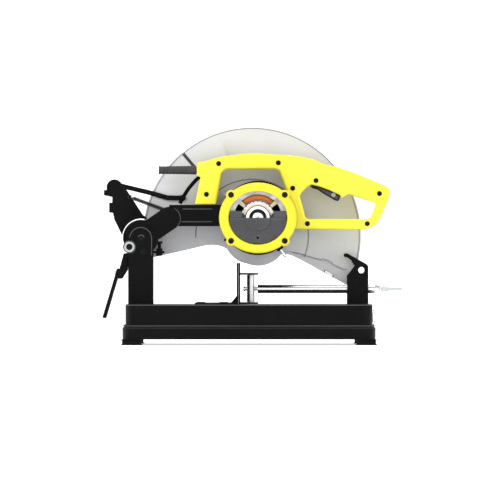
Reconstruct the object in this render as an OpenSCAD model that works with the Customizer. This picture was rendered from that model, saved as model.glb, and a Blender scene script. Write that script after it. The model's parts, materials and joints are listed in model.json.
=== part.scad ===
// Abrasive chop saw with its head lowered: X runs from the rear post to the operator, +Z is up.
// The origin is the centre of the four bench-bolt holes, on the bench. The viewer's side is -Y.

/* [Base pan] */
// Length of the base's top face
base_len = 441; // [430:1:450]
// Width of the base's top face
base_wid = 260; // [250:1:270]
// Height of the base's top face above the bench
base_top = 72; // [70:1:74]
// How far the lower step stands out on each side
base_flare = 5.5; // [4:0.5:7]
// Thickness of the pressed steel
base_sheet = 2.5; // [2:0.1:3]
// Width of a corner leg
leg_wid = 34; // [30:1:36]
// Radius of a bench-bolt hole
bench_hole_r = 4.5; // [3:0.5:5]

/* [Pivot and post] */
// Distance of the arm's pivot behind the origin
pivot_back = 194; // [190:1:198]
// Height of the arm's pivot
pivot_z = 192; // [190:1:194]
// Width of the post's ears, seen from the side
post_wid = 45; // [43:1:47]
// Radius of the pivot bolt
pivot_r = 6; // [5:0.5:7]
// Running clearance of the pins, per side
run_gap = 0.05; // [0.02:0.01:0.09]

/* [Head] */
// Spindle axis, forward of the origin
spindle_x = 5.5; // [3:0.5:8]
// Spindle axis height
spindle_z = 195.5; // [193:0.5:198]
// Teeth on the motor pinion
pinion_teeth = 8; // [8:1:8]
// Teeth on the spindle gear
gear_teeth = 36; // [36:1:36]
// Gear module
gear_module = 1.5; // [1.5:0.1:1.5]
// Outer radius of the fixed guard
guard_r = 194.6; // [192:0.2:196]
// Width of the fixed guard
guard_wid = 52; // [50:1:54]
// Outer radius of the motor body
motor_r = 66; // [64:0.5:67]

/* [Handle] */
// Thickness of the closed handle
handle_thick = 36; // [32:1:38]
// Wall of the handle shells
handle_wall = 3; // [2.5:0.1:3.5]

/* [Vise] */
// Height of the vise screw
vise_z = 99.9; // [98:0.1:101]
// Radius of the vise screw
vise_r = 7.65; // [7:0.05:8]
// Width of the vise jaw
jaw_wid = 80; // [70:1:84]
// Length of the vise crank
crank_len = 58; // [50:1:60]

/* [Hidden] */
$fn = 64;

black_paint = "#1b1b1c";
soft_black = "#262627";
zinc = "#c9cbcd";
alloy = "#b4b6b8";
yellow = "#f2e93a";
dark_grey = "#555657";
copper = "#d9783c";
cut = 0.5;

// Base
leg_x = base_len / 2 + base_flare - leg_wid / 2;
leg_y = base_wid / 2 + base_flare - leg_wid / 2;
corner_r = 25;
skirt_z = 10.3;
shoulder_low = 30;
shoulder_high = 36.5;
foot_floor = 4;
slot_y0 = 17;
slot_y1 = 35;

// Post and arm, across the saw
pivot = [-pivot_back, pivot_z];
ear_t = 4;
near_ear = -66;
far_ear = -12.5;
hub_r = 31.9;
barrel_r = 20;
elbow_r = 20.7;
hub_y0 = near_ear + ear_t + 0.5;
disc_y1 = -44;
hub_y1 = far_ear - 0.8;
elbow = [-143.1, 226.4];
bar_z0 = 212.4;
bar_z1 = 250.6;
stop_ring_r = 26.3;
lock_angle = 219.6;
stop_angle = 280.6;
lift_range = 45;
groove_r0 = 22.8;
groove_r1 = 29.8;
ledge_z = 164;
bolt_x = -161;
bolt_y = -28;

// Head
centre_dist = gear_module * (pinion_teeth + gear_teeth) / 2;
gear_lean = 71.8;
motor = [spindle_x + centre_dist * cos(gear_lean), spindle_z + centre_dist * sin(gear_lean)];
spin = [spindle_x, spindle_z];
case_mid = [16.2, 195.5];
case_r = 54;
boss_r = 40;
wall_y = -12;
case_y1 = -1.5;
guard_t = 2;
mover_r = guard_r - 3.4;
mover_t = 1.6;
link_r = 142;
link_rest = 151.3;
link_anchor = [-240.3, 287.6];
link_eye = [spindle_x + link_r * cos(link_rest), spindle_z + link_r * sin(link_rest)];
link_y0 = -4.5;
link_y1 = -1.8;
bracket_y0 = far_ear + ear_t;
bracket_y1 = link_y0 - 0.4;

// Motor
cup_y0 = -62;
end_y = -150;
ring_y = -166;
ring_rx = 69.1;
ring_rz = 63;
open_rx = 52.2;
open_rz = 47.5;
ear_dx = 47.8;
ear_dz = 41;
lamination = [-125, -75];
plate_top = 0.7;
lock_lean = 54;
case_screws = [18, 60, 120];

// Handle
handle_y = -41;
trigger_pin = [112, 283.5];

// Vise
vise_y = -36;
jaw_face = -18.6;
barrel_x = 3.2;
barrel_r_out = 6.85;
fence_x = -22;
fence_top = 146.5;
fence_pivot = [-45, -75];
fence_swing = 45;

// A solid of a side-view outline between two depths
module plate(y0, y1) {
  translate([0, y1, 0]) rotate([90, 0, 0]) linear_extrude(y1 - y0) children();
}

// A round bar across the saw
module rod(at, r, y0, y1) {
  translate([at[0], y1, at[1]]) rotate([90, 0, 0]) cylinder(r = r, h = y1 - y0);
}

// A ring across the saw
module collar(at, r_in, r_out, y0, y1) {
  difference() {
    rod(at, r_out, y0, y1);
    rod(at, r_in, y0 - cut, y1 + cut);
  }
}

// A flat bar with round ends, in outline; its straight sides run just inside the ends' width
module strap(p, q, r) {
  d = q - p;
  translate(p) circle(r);
  translate(q) circle(r);
  translate(p) rotate(atan2(d[1], d[0])) translate([0, 0.1 - r]) square([norm(d), 2 * r - 0.2]);
}

// A rectangle with round corners, in outline
module round_rect(l, w, r) {
  square([l - 2 * r, w], center = true);
  square([l, w - 2 * r], center = true);
  for (x = [-1, 1], y = [-1, 1]) translate([x * (l / 2 - r), y * (w / 2 - r)]) circle(r);
}

// A sector of a ring, in outline, from angle a0 to a1 (less than 180 degrees)
module arc_strip(at, r0, r1, a0, a1) {
  far = 3 * r1;
  mid = (a0 + a1) / 2;
  translate(at) intersection() {
    difference() {
      circle(r1);
      circle(r0);
    }
    polygon([[0, 0], far * [cos(a0), sin(a0)], far * [cos(mid), sin(mid)], far * [cos(a1), sin(a1)]]);
  }
}

function on_circle(at, r, a) = at + r * [cos(a), sin(a)];

// Six-sided head or nut along +Z
module hexagon(af, h) {
  cylinder(d = af / cos(30), h = h, $fn = 6);
}

// Bolt with a hexagon head, standing along +Z with its head on top of z = 0
module hex_bolt(r, grip, af, head) {
  hexagon(af, head);
  translate([0, 0, -grip]) cylinder(r = r, h = grip);
}

// ---------------------------------------------------------------- base

// The sloped step between the two tiers: two crossing wedges and a cone at each corner
module sloped_shoulder(l, w, r) {
  rise = shoulder_high - shoulder_low;
  for (turn = [0, 90]) rotate(turn) {
    half = (turn == 0 ? l : w) / 2;
    run = (turn == 0 ? w : l) - 2 * r;
    translate([0, run / 2, shoulder_low]) rotate([90, 0, 0]) linear_extrude(run)
      polygon([[-half - base_flare, 0], [half + base_flare, 0], [half, rise], [-half, rise]]);
  }
  for (x = [-1, 1], y = [-1, 1]) translate([x * (l / 2 - r), y * (w / 2 - r), shoulder_low])
    cylinder(r1 = r + base_flare, r2 = r, h = rise);
}

module pan_shell(inset) {
  l = base_len - 2 * inset;
  w = base_wid - 2 * inset;
  f = 2 * base_flare;
  r = corner_r - inset;
  top = base_top - inset;
  translate([0, 0, skirt_z - 2 * inset])
    linear_extrude(shoulder_low - skirt_z + 2 * inset) round_rect(l + f, w + f, r + base_flare);
  sloped_shoulder(l, w, r);
  translate([0, 0, shoulder_high]) linear_extrude(top - shoulder_high) round_rect(l, w, r);
}

module leg_corner() {
  l = base_len + 2 * base_flare;
  w = base_wid + 2 * base_flare;
  translate([0, 0, foot_floor]) linear_extrude(skirt_z - foot_floor + 1) difference() {
    intersection() {
      round_rect(l, w, corner_r + base_flare);
      translate([l / 2 - leg_wid, w / 2 - leg_wid]) square(leg_wid);
    }
    intersection() {
      round_rect(l - 5, w - 5, corner_r + base_flare - base_sheet);
      translate([l / 2 - leg_wid + base_sheet, w / 2 - leg_wid + base_sheet]) square(leg_wid);
    }
  }
}

module leg_floor() {
  l = base_len + 2 * base_flare;
  w = base_wid + 2 * base_flare;
  translate([0, 0, foot_floor]) linear_extrude(2.5) intersection() {
    round_rect(l, w, corner_r + base_flare);
    translate([l / 2 - leg_wid, w / 2 - leg_wid]) square(leg_wid);
  }
}

// The four holes of a bolt group on the top face
module at_points(points) {
  for (p = points) translate([p[0], p[1], 0]) children();
}

post_bolt_points = [[-204, -50], [-184, -50], [-204, -25], [-184, -25]];
front_bolt_points = [[184.5, -48.5], [200.5, -48.5], [184.5, -23.5], [200.5, -23.5]];
fence_slot_r = 44;
fence_slot_a = 160;
fence_bolt_points = [fence_pivot, on_circle(fence_pivot, fence_slot_r, fence_slot_a)];

module base_pan() {
  color(black_paint) difference() {
    union() {
      difference() {
        pan_shell(0);
        pan_shell(base_sheet);
      }
      for (x = [0, 1], y = [0, 1]) mirror([x, 0, 0]) mirror([0, y, 0]) {
        leg_corner();
        leg_floor();
      }
    }
    translate([-135, slot_y0, base_top - 6]) cube([280, slot_y1 - slot_y0, 12]);
    for (x = [-1, 1], y = [-1, 1]) translate([x * leg_x, y * leg_y, 0]) cylinder(r = bench_hole_r, h = 9);
    at_points(concat(post_bolt_points, front_bolt_points, fence_bolt_points))
      translate([0, 0, base_top - 6]) cylinder(r = 4.1, h = 12);
  }
}

module rubber_foot() {
  size = leg_wid;
  difference() {
    union() {
      translate([0, 0, 5]) cube([size + 0.6, size + 0.6, 10], center = true);
      for (z = [0.6, 9.4]) translate([0, 0, z]) cube([size + 5, size + 5, 1.2], center = true);
    }
    translate([0, 0, foot_floor + 5]) cube([size, size, 10], center = true);
    translate([-size / 2 - 4, -size / 2 - 4, foot_floor]) cube([size + 2, size + 2, 12]);
    translate([0, 0, -cut]) cylinder(r = bench_hole_r, h = foot_floor + 2 * cut);
  }
}

module rubber_feet() {
  color(soft_black) for (x = [0, 1], y = [0, 1]) mirror([x, 0, 0]) mirror([0, y, 0])
    translate([leg_x, leg_y, 0]) rubber_foot();
}

module base_bolts() {
  color(soft_black) {
    at_points(concat(post_bolt_points, front_bolt_points)) translate([0, 0, base_top + ear_t])
      hex_bolt(4, ear_t + 9, 12, 5.3);
    at_points(concat(post_bolt_points, front_bolt_points)) translate([0, 0, base_top - base_sheet - 6])
      difference() {
        hexagon(13, 6);
        translate([0, 0, -cut]) cylinder(r = 4, h = 7);
      }
  }
}

// ---------------------------------------------------------------- rear post

module ear(y) {
  plate(y, y + ear_t) {
    translate(pivot) circle(post_wid / 2);
    translate([pivot[0] - post_wid / 2, base_top + ear_t - 1]) square([post_wid, pivot[1] - base_top - ear_t + 1]);
  }
}

module rear_post() {
  x0 = pivot[0] - post_wid / 2;
  depth = far_ear + ear_t - near_ear;
  color(black_paint) difference() {
    union() {
      ear(near_ear);
      ear(far_ear);
      translate([x0, near_ear, base_top]) cube([post_wid, depth, ear_t]);
      translate([x0, near_ear, base_top]) cube([ear_t, depth, 76]);
      translate([x0 + post_wid - ear_t, near_ear, base_top]) cube([ear_t, depth, ledge_z - base_top]);
      translate([x0 + post_wid - ear_t, -40, ledge_z]) cube([23.5, 24, ear_t]);
      plate(-44, -34) {
        translate(flap_top) circle(2.8);
        translate([flap_top[0], flap_top[1] - 2.8]) square([4, 5.6]);
        translate([x0, flap_top[1] - 12]) square([ear_t, 14.8]);
      }
      rod(flap_top, 1.5, -62, 46);
    }
    rod(pivot, pivot_r, near_ear - cut, far_ear + ear_t + cut);
    rod(on_circle(pivot, stop_ring_r, lock_angle), 3 + run_gap, near_ear - cut, near_ear + ear_t + cut);
    rod(on_circle(pivot, stop_ring_r, stop_angle), 3, near_ear - cut, near_ear + ear_t + cut);
    at_points(post_bolt_points) translate([0, 0, base_top - cut]) cylinder(r = 4.1, h = ear_t + 2 * cut);
    translate([bolt_x, bolt_y, ledge_z - cut]) cylinder(r = 3, h = ear_t + 2 * cut);
  }
}

// A round bar from rear to front
module rod_x(x0, x1, y, z, r) {
  translate([x0, y, z]) rotate([0, 90, 0]) cylinder(r = r, h = x1 - x0);
}

module pivot_bolt() {
  color(soft_black) {
    rod(pivot, pivot_r, near_ear - 0.6, far_ear + ear_t + 4);
    difference() {
      translate([pivot[0], far_ear + ear_t, pivot[1]]) rotate([-90, 0, 0]) hexagon(18, 4);
      rod(pivot, pivot_r, far_ear, 0);
    }
  }
}

module stop_screw() {
  at = on_circle(pivot, stop_ring_r, stop_angle);
  color(soft_black) {
    rod(at, 3, near_ear - 1, hub_y0 + 6);
    difference() {
      rod(at, 5.6, near_ear - 3.2, near_ear - 1 + 1);
      rod(at, 2.5, near_ear - 4, near_ear - 1.6, $fn = 6);
    }
  }
}

module lock_pin() {
  at = on_circle(pivot, stop_ring_r, lock_angle);
  color(alloy) difference() {
    union() {
      rod(at, 3, near_ear - 1, hub_y0 + 6);
      rod(at, 9.4, near_ear - 5, near_ear - 0.5);
      rod(at, 11.3, near_ear - 2.5, near_ear - 0.5);
    }
    rod(at, 5.9, near_ear - 6, near_ear - 3);
  }
}

module depth_stop() {
  color(soft_black) {
    translate([bolt_x, bolt_y, 181.4]) hex_bolt(3, 22.4, 10, 4);
    for (z = [ledge_z + ear_t, ledge_z - 4.5]) translate([bolt_x, bolt_y, z]) difference() {
      hexagon(10, 4.5);
      translate([0, 0, -cut]) cylinder(r = 3, h = 6);
    }
  }
}

module link_bracket() {
  top = [-242, 282.4];
  color(black_paint) {
    difference() {
      plate(bracket_y0, bracket_y1) difference() {
        union() {
          translate(top) circle(14.3);
          polygon([[-255.5, 283], [-256.5, 277.5], [-261, 277.7], [-261, 268], [-254.5, 266.9], [-246, 265],
            [-246, 255], [-251.6, 255], [-251.6, 237], [-245, 236.5], [-242, 223.7], [-222, 183.5],
            [-213.5, 172], [-210, 150], [-184, 150], [-184, 228], [-191, 233.1], [-228, 290]]);
        }
        translate(pivot) difference() {
          circle(34.2);
          translate([-40, -60]) square([80, 52]);
        }
      }
      rod(pivot, 11, bracket_y0 - cut, bracket_y1 + cut);
    }
    rod(link_anchor, 3, bracket_y1 - 1, link_y1 + 0.6);
    rod([-214.2, 265.1], 2, -19.5, bracket_y0 + 1);
  }
}

// ---------------------------------------------------------------- front bracket and vise

module bracket_side() {
  difference() {
    union() {
      polygon([[175.9, base_top + 1], [175.9, 123.5], [189.9, 141.5], [188.1, 144], [183.6, 151.2],
        [175.9, 156.6], [172, 157.5], [175.9, 163.8], [210.6, 144.6], [213.7, 140.4], [213.7, base_top + 1]]);
      translate([173.8, 160.2]) circle(3.6);
    }
    translate([201.6, 133.6]) circle(5.8);
  }
}

module front_bracket() {
  y0 = vise_y - 26;
  color(black_paint) difference() {
    union() {
      plate(y0, y0 + ear_t) bracket_side();
      plate(y0 + 52 - ear_t, y0 + 52) bracket_side();
      translate([209.7, y0, base_top]) cube([4, 52, 66]);
      translate([175.9, y0, base_top]) cube([37.8, 52, ear_t]);
    }
    rod_x(205, 220, vise_y, vise_z, vise_r + 0.6);
    at_points(front_bolt_points) translate([0, 0, base_top - cut]) cylinder(r = 4.1, h = ear_t + 2 * cut);
  }
}

module vise_nut() {
  color(zinc) difference() {
    translate([182, vise_y - 22, vise_z - 13]) cube([27.7, 44, 26]);
    rod_x(181, 211, vise_y, vise_z, vise_r + run_gap);
  }
}

module vise_barrel() {
  color(zinc) difference() {
    translate([barrel_x, vise_y, 0]) {
      translate([0, 0, 76.4]) cylinder(r = barrel_r_out, h = 48.5);
      translate([0, 0, 73.3]) cylinder(r = 4, h = 55);
    }
    rod_x(-20, 30, vise_y, vise_z, 3 + run_gap);
  }
}

module vise_screw() {
  color(zinc) {
    rod_x(-10.4, 17, vise_y, vise_z, 3);
    rod_x(-9.2, -7.2, vise_y, vise_z, 4.6);
    rod_x(15.5, 226, vise_y, vise_z, vise_r);
    translate([226, vise_y, vise_z]) rotate([0, 90, 0]) cylinder(r1 = vise_r, r2 = 5.2, h = 9);
    rod_x(235, 241, vise_y, vise_z, 5.2);
  }
}

module vise_crank() {
  at = [242.1, vise_z];
  grip_y = vise_y - crank_len;
  color(zinc) {
    difference() {
      rod(at, 4.9, grip_y - 6, vise_y + 7);
      rod_x(230, 241, vise_y, vise_z, 5.2);
    }
    rod_x(245, 249, grip_y, vise_z, 4.2);
    rod_x(246, 271.6, grip_y, vise_z, 2.6);
    translate([271, grip_y, vise_z]) sphere(r = 2.6);
  }
}

module vise_jaw() {
  y0 = vise_y - jaw_wid / 2;
  color(black_paint) difference() {
    union() {
      translate([jaw_face, 0, 0]) rotate([90, 0, 90]) linear_extrude(2.9)
        polygon([[y0, 73.1], [y0 + jaw_wid, 73.1], [y0 + jaw_wid, 112], [-20, fence_top], [y0, fence_top]]);
      for (z = [73.1, 125.3]) translate([jaw_face + 1, vise_y, z]) linear_extrude(z < 100 ? 2.9 : 3.2)
        polygon([[0, -34], [24, -17], [34, -10], [34, 10], [24, 17], [0, 34]]);
    }
    translate([barrel_x, vise_y, 60]) cylinder(r = 4 + run_gap, h = 80);
  }
}

// ---------------------------------------------------------------- fence

module fence() {
  y0 = -90;
  y1 = 85;
  a1 = fence_slot_a;
  a0 = a1 - fence_swing - 2;
  color(black_paint) difference() {
    union() {
      translate([fence_x, y0, base_top]) cube([3, y1 - y0, fence_top - base_top]);
      translate([0, 0, base_top]) linear_extrude(3)
        polygon([[-20, y0], [-97, y0], [-97, 20], [-60, y1], [-20, y1]]);
      for (y = [-60, 5, 55]) plate(y, y + 4)
        polygon([[fence_x + 1, 88], [fence_x + 1, 74], [-33, 74]]);
    }
    translate([fence_x - cut, slot_y0, base_top + 3]) cube([4, slot_y1 - slot_y0, 80]);
    translate([-77, slot_y0, base_top - cut]) cube([60, slot_y1 - slot_y0, 4]);
    translate([fence_pivot[0], fence_pivot[1], base_top - cut]) {
      cylinder(r = 4 + run_gap, h = 4);
      linear_extrude(4) {
        arc_strip([0, 0], fence_slot_r - 4.4, fence_slot_r + 4.4, a0, a1);
        for (a = [a0, a1]) translate(on_circle([0, 0], fence_slot_r, a)) circle(4.4);
      }
    }
  }
}

module fence_bolts() {
  color(zinc) at_points(fence_bolt_points) translate([0, 0, base_top + 3.2]) {
    difference() {
      union() {
        cylinder(r = 8, h = 1.6);
        translate([0, 0, -13]) cylinder(r = 4, h = 14);
      }
      translate([0, 0, 0.6]) hexagon(5, 2);
    }
    translate([0, 0, -5.7 - 6]) difference() {
      hexagon(13, 6);
      translate([0, 0, -cut]) cylinder(r = 4, h = 7);
    }
  }
}

module key_clip() {
  x = base_len / 2;
  color(zinc) {
    translate([x, -40, 48.6]) rotate([0, 90, 0]) cylinder(r = 8.6, h = 2.1);
    intersection() {
      translate([x - 23, -40, 48.7]) rotate([90, 0, 0]) rotate_extrude() translate([29, 0]) circle(0.9, $fn = 24);
      translate([x + 1, -45, 35]) cube([8, 10, 27.4]);
    }
  }
}

// ---------------------------------------------------------------- spark flap

flap_top = [-219.8, 160];
flap_lean = 14;
flap_tilt = 16.6;

// The flap's three screws, square to its face
module at_flap_screws() {
  for (y = [-45, -8, 29]) translate([-232.4, y, 127]) rotate([0, 90 + flap_tilt, 0]) children();
}

module flap_holder() {
  color(black_paint) difference() {
    union() {
      translate([flap_top[0], 0, flap_top[1]]) rotate([0, flap_lean, 0])
        translate([-2.2, -61, -38]) cube([2.5, 106, 36.5]);
      for (y = [-62.5, 44]) plate(y, y + 2.5)
        polygon([[-217.5, 164.5], [-224.6, 163.5], [-235.4, 124.2], [-234, 118.2], [-228.5, 118.2], [-218.6, 133.7]]);
      rod(flap_top, 2.8, -61.5, 45);
    }
    rod(flap_top, 1.5 + run_gap, -64, 48);
    translate([-226, -44.5, 145]) cube([12, 11, 25]);
    at_flap_screws() cylinder(r = 2.05, h = 30, center = true);
  }
}

module spark_flap() {
  color(soft_black) difference() {
    translate([flap_top[0], 0, flap_top[1]]) rotate([0, flap_tilt, 0])
      translate([-9.4, -58, -119]) cube([5.6, 100, 92]);
    at_flap_screws() cylinder(r = 2.05, h = 30, center = true);
  }
}

module flap_screws() {
  color(zinc) at_flap_screws() {
    translate([0, 0, -8]) cylinder(r = 2, h = 11);
    translate([0, 0, -8.8]) cylinder(r = 4, h = 2);
  }
}

// ---------------------------------------------------------------- arm

function spring_end(t) = [-214.2, 265.1] * (1 - t) + [-142.2, 238] * t;

module lift_spring() {
  p = spring_end(0.04);
  q = spring_end(0.96);
  d = q - p;
  color(soft_black) difference() {
    translate([p[0], -14.7, p[1]]) rotate([0, 90 - atan2(d[1], d[0]), 0])
      cylinder(r = 4.1, h = norm(d));
    for (t = [0, 1]) rod(spring_end(t), 2.3, -20, -9);
  }
}

module arm_casting() {
  groove_low = lock_angle - lift_range - 9;
  groove_high = stop_angle + 9;
  color(black_paint) difference() {
    union() {
      rod(pivot, hub_r, hub_y0, disc_y1);
      rod(pivot, barrel_r, hub_y0, hub_y1);
      plate(-60, -20) strap(pivot, elbow, elbow_r);
      difference() {
        union() {
          translate([elbow[0], -58, bar_z0]) cube([100, 36, bar_z1 - bar_z0]);
          rod(motor, motor_r, cup_y0, wall_y);
        }
        rod(motor, motor_r - 5, cup_y0 - cut, -18);
      }
      rod(motor, 19, -26, -16);
      rod([-142.2, 238], 2, -21, -10.5);
      translate([motor[0], -24, motor[1]]) rotate([0, 90 + lock_lean, 0])
        translate([0, 0, motor_r - 4]) cylinder(r = 6, h = 8);
    }
    rod(pivot, pivot_r + 2.5, hub_y0 - cut, hub_y1 + cut);
    plate(hub_y0 - cut, hub_y0 + 8) {
      arc_strip(pivot, groove_r0, groove_r1, groove_low, groove_high);
    }
    rod(motor, 14, -27, -17);
    rod(motor, 10, -18, wall_y + cut);
    rod(spin, 11, -17, wall_y + cut);
    for (a = case_screws) rod(on_circle(case_mid, 49, a), 2.5, -20, wall_y + cut);
    translate([motor[0], -24, motor[1]]) rotate([0, 90 + lock_lean, 0]) translate([0, 0, 40])
      cylinder(r = 2.7 + run_gap, h = 50);
  }
}

module arm_bushes() {
  color("#b98a3a") for (y = [hub_y0 + 0.2, hub_y1 - 14.2]) collar(pivot, pivot_r + run_gap, pivot_r + 2.5, y, y + 14);
}

module gear_case() {
  color(alloy) difference() {
    union() {
      rod(case_mid, case_r, wall_y, case_y1);
      rod(spin, boss_r, case_y1 - 1, 9);
    }
    rod(spin, 31, wall_y - cut, -3.5);
    rod(motor, 12, wall_y - cut, -3.5);
    rod(spin, 17.5, -2, 9 + cut);
    rod(spin, 12, -4, 0);
    collar(spin, 38, boss_r + 1, 5.1, 7.1);
    for (a = case_screws) rod(on_circle(case_mid, 49, a), 2.5, wall_y - cut, 0);
  }
}

module guard_screws() {
  color(zinc) for (a = case_screws) {
    rod(on_circle(case_mid, 49, a), 2.5, -18.5, guard_t);
    difference() {
      rod(on_circle(case_mid, 49, a), 4.3, -22.5, -18);
      rod(on_circle(case_mid, 49, a), 2, -23, -20, $fn = 6);
    }
  }
}

module spindle_bearings() {
  color(zinc) {
    collar(spin, 4, 11, -17, -12.2);
    collar(spin, 7.5, 17.5, -2, 9);
  }
}

module guard_retainer() {
  color(zinc) difference() {
    collar(spin, 38.05, 45, 5.15, 7);
    plate(5, 7.2) arc_strip(spin, 30, 50, 262, 278);
  }
}

// ---------------------------------------------------------------- gears and spindle

module gear_outline(teeth, phase) {
  rp = gear_module * teeth / 2;
  step = 360 / teeth;
  root = rp - 1.25 * gear_module;
  tip = rp + 0.92 * gear_module;
  circle(root + 0.05);
  for (i = [0 : teeth - 1]) rotate(phase + i * step)
    polygon([[root - 0.6, -0.95], [rp, -0.98], [tip, -0.45], [tip, 0.45], [rp, 0.98], [root - 0.6, 0.95]]);
}

module drive_gear() {
  color(zinc) difference() {
    plate(-11.3, -4.3) translate(spin) gear_outline(gear_teeth, gear_lean + 180 / gear_teeth);
    rod(spin, 8, -12, -3);
  }
}

module spindle() {
  color(zinc) difference() {
    union() {
      rod(spin, 4, -16.8, -11.5);
      rod(spin, 8, -11.8, -2.6);
      rod(spin, 7.5, -2.7, 9.3);
      rod(spin, 11, 9.2, 18);
      rod(spin, 8, 17.9, 27);
    }
    rod(spin, 4, 12, 28);
  }
}

module clamp_flanges() {
  color(alloy) {
    difference() {
      union() {
        rod(spin, 37, 18.1, 24.5);
        rod(spin, 12.65, 24.4, 27.3);
      }
      rod(spin, 8, 17, 28);
      collar(spin, 16, 30, 23.5, 25);
    }
    difference() {
      rod(spin, 37, 27.5, 33);
      rod(spin, 4, 27, 34);
      collar(spin, 16, 30, 27, 28.5);
    }
  }
}

module flange_bolt() {
  color(zinc) {
    rod(spin, 4, 13, 35);
    rod(spin, 10, 33, 34.6);
    translate([spin[0], 34.6, spin[1]]) rotate([-90, 0, 0]) hexagon(13, 5.5);
  }
}

// ---------------------------------------------------------------- motor

module motor_housing() {
  color(black_paint) difference() {
    union() {
      rod(motor, motor_r, end_y, cup_y0);
      for (x = [-1, 1], z = [-1, 1]) rod(motor + [x * ear_dx, z * ear_dz], 8, end_y, end_y + 24);
      rod(motor, motor_r - 5.1, cup_y0 - 1, cup_y0 + 4);
    }
    rod(motor, 53, end_y - cut, cup_y0 + 5);
    for (x = [-1, 1], z = [-1, 1]) rod(motor + [x * ear_dx, z * ear_dz], 2.1, end_y - cut, end_y + 18);
  }
}

module oval(rx, rz) {
  scale([1, rz / rx]) circle(rx);
}

module end_ring() {
  color(yellow) difference() {
    plate(ring_y, end_y) translate(motor) {
      oval(ring_rx, ring_rz);
      for (x = [-1, 1], z = [-1, 1]) translate([x * ear_dx, z * ear_dz]) circle(8.8);
    }
    plate(ring_y - 1, -157) translate(motor) oval(open_rx, open_rz);
    plate(-158, end_y + 1) translate(motor) oval(open_rx + 0.6, open_rz + 4);
    for (x = [-1, 1], z = [-1, 1]) rod(motor + [x * ear_dx, z * ear_dz], 2.1, ring_y - 1, end_y + 1);
    for (x = [-1, 1], z = [-1, 1]) rod(motor + [x * ear_dx, z * ear_dz], 5.2, ring_y - 1, ring_y + 3);
  }
}

module end_ring_screws() {
  color(soft_black) for (x = [-1, 1], z = [-1, 1]) {
    rod(motor + [x * ear_dx, z * ear_dz], 2.1, ring_y + 2, end_y + 17);
    difference() {
      rod(motor + [x * ear_dx, z * ear_dz], 5.2, ring_y - 0.5, ring_y + 3);
      rod(motor + [x * ear_dx, z * ear_dz], 2, ring_y - 1, ring_y + 1.4, $fn = 6);
    }
  }
}

module end_plate() {
  color(dark_grey) difference() {
    plate(-160.5, -157.5) translate(motor) intersection() {
      oval(open_rx - 1.6, open_rz - 1.6);
      translate([-60, -60]) square([120, 60 + plate_top]);
    }
    rod(motor, 21.3, -161, -157);
    rod(motor + [0, -35.5], 2.2, -161, -157);
  }
}

module bearing_bridge() {
  color(alloy) difference() {
    union() {
      collar(motor, 15, 21, -159, -150.2);
      translate([motor[0] - 52.6, -154, motor[1] - 5]) cube([105.2, 3.8, 10]);
      translate([motor[0] - 5, -154, motor[1] - 51.3]) cube([10, 3.8, 40]);
      rod(motor + [0, -35.5], 4, -157.5, -153);
    }
    rod(motor, 15, -160, -150);
    rod(motor + [0, -35.5], 2.2, -158, -150);
  }
}

module motor_bearings() {
  color(dark_grey) {
    collar(motor, 5.06, 15, -159, -150.4);
    collar(motor, 6.06, 14, -25, -17);
  }
}

module stator_core() {
  color("#dcdcdc") plate(lamination[0], lamination[1]) translate(motor) {
    difference() {
      circle(53);
      circle(42.6);
    }
    for (s = [0, 180]) rotate(s) arc_strip([0, 0], 31, 43, 48.5, 131.5);
  }
}

module coil_end(y0, y1) {
  plate(y0, y1) translate(motor) for (s = [0, 180]) rotate(s) arc_strip([0, 0], 31, 42.2, 37, 143);
}

module field_coils() {
  color(copper) {
    coil_end(-138, lamination[0] - 0.3);
    coil_end(lamination[1] + 0.3, -66);
    plate(-126, -74) translate(motor) for (s = [0, 180]) rotate(s) {
      arc_strip([0, 0], 33, 42.2, 37, 47.5);
      arc_strip([0, 0], 33, 42.2, 132.5, 143);
    }
  }
}

module brush_holders() {
  color(dark_grey) for (s = [-1, 1]) translate([motor[0], 0, motor[1]]) difference() {
    translate([s > 0 ? 24.5 : -50.5, -149.8, -7]) cube([26, 11.4, 14]);
    translate([s > 0 ? 23 : -47, -147.2, -4]) cube([24, 6.4, 8]);
  }
}

module brushes() {
  color("#2f2f31") for (s = [-1, 1]) translate([motor[0], 0, motor[1]])
    translate([s > 0 ? 22.3 : -38.3, -147, -3.8]) cube([16, 6, 7.6]);
}

module armature_shaft() {
  color(zinc) difference() {
    union() {
      rod(motor, 5, -160.5, -148);
      rod(motor, 7, -149.9, -25.2);
      rod(motor, 6, -25.3, -13);
      plate(-13.2, -3.9) translate(motor) gear_outline(pinion_teeth, gear_lean + 180);
    }
  }
}

module armature_core() {
  color("#bfbfbf") difference() {
    union() {
      rod(motor, 29.6, lamination[0], lamination[1]);
      rod(motor, 27, lamination[0] - 7, lamination[1] + 7);
    }
    rod(motor, 7, -140, -60);
    for (i = [0 : 11]) rod(on_circle(motor, 30.4, i * 30 + 15), 2.4, lamination[0] - 1, lamination[1] + 1);
  }
}

module commutator() {
  color(copper) difference() {
    rod(motor, 22, -148.4, -134);
    rod(motor, 7, -150, -130);
  }
}

module motor_fan() {
  blades = 16;
  color(soft_black) difference() {
    union() {
      rod(motor, 12, -54, -32);
      difference() {
        rod(motor, 44, -33, -21.3);
        rod(motor, 36, -30, -20);
        for (i = [0 : 7]) rod(on_circle(motor, 44, -lock_lean + i * 45), 4.5, -30, -20);
      }
      for (i = [0 : blades - 1]) translate([motor[0], 0, motor[1]]) rotate([0, i * 360 / blades + 11, 0])
        translate([11, -52, -0.9]) cube([30, 20, 1.8]);
    }
    rod(motor, 7, -60, -20);
  }
}

module shaft_lock() {
  color(zinc) translate([motor[0], -24, motor[1]]) rotate([0, 90 + lock_lean, 0]) {
    translate([0, 0, 49]) cylinder(r = 2.7, h = 34.5);
    translate([0, 0, 83]) sphere(r = 2.7);
  }
}

// ---------------------------------------------------------------- guards

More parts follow.
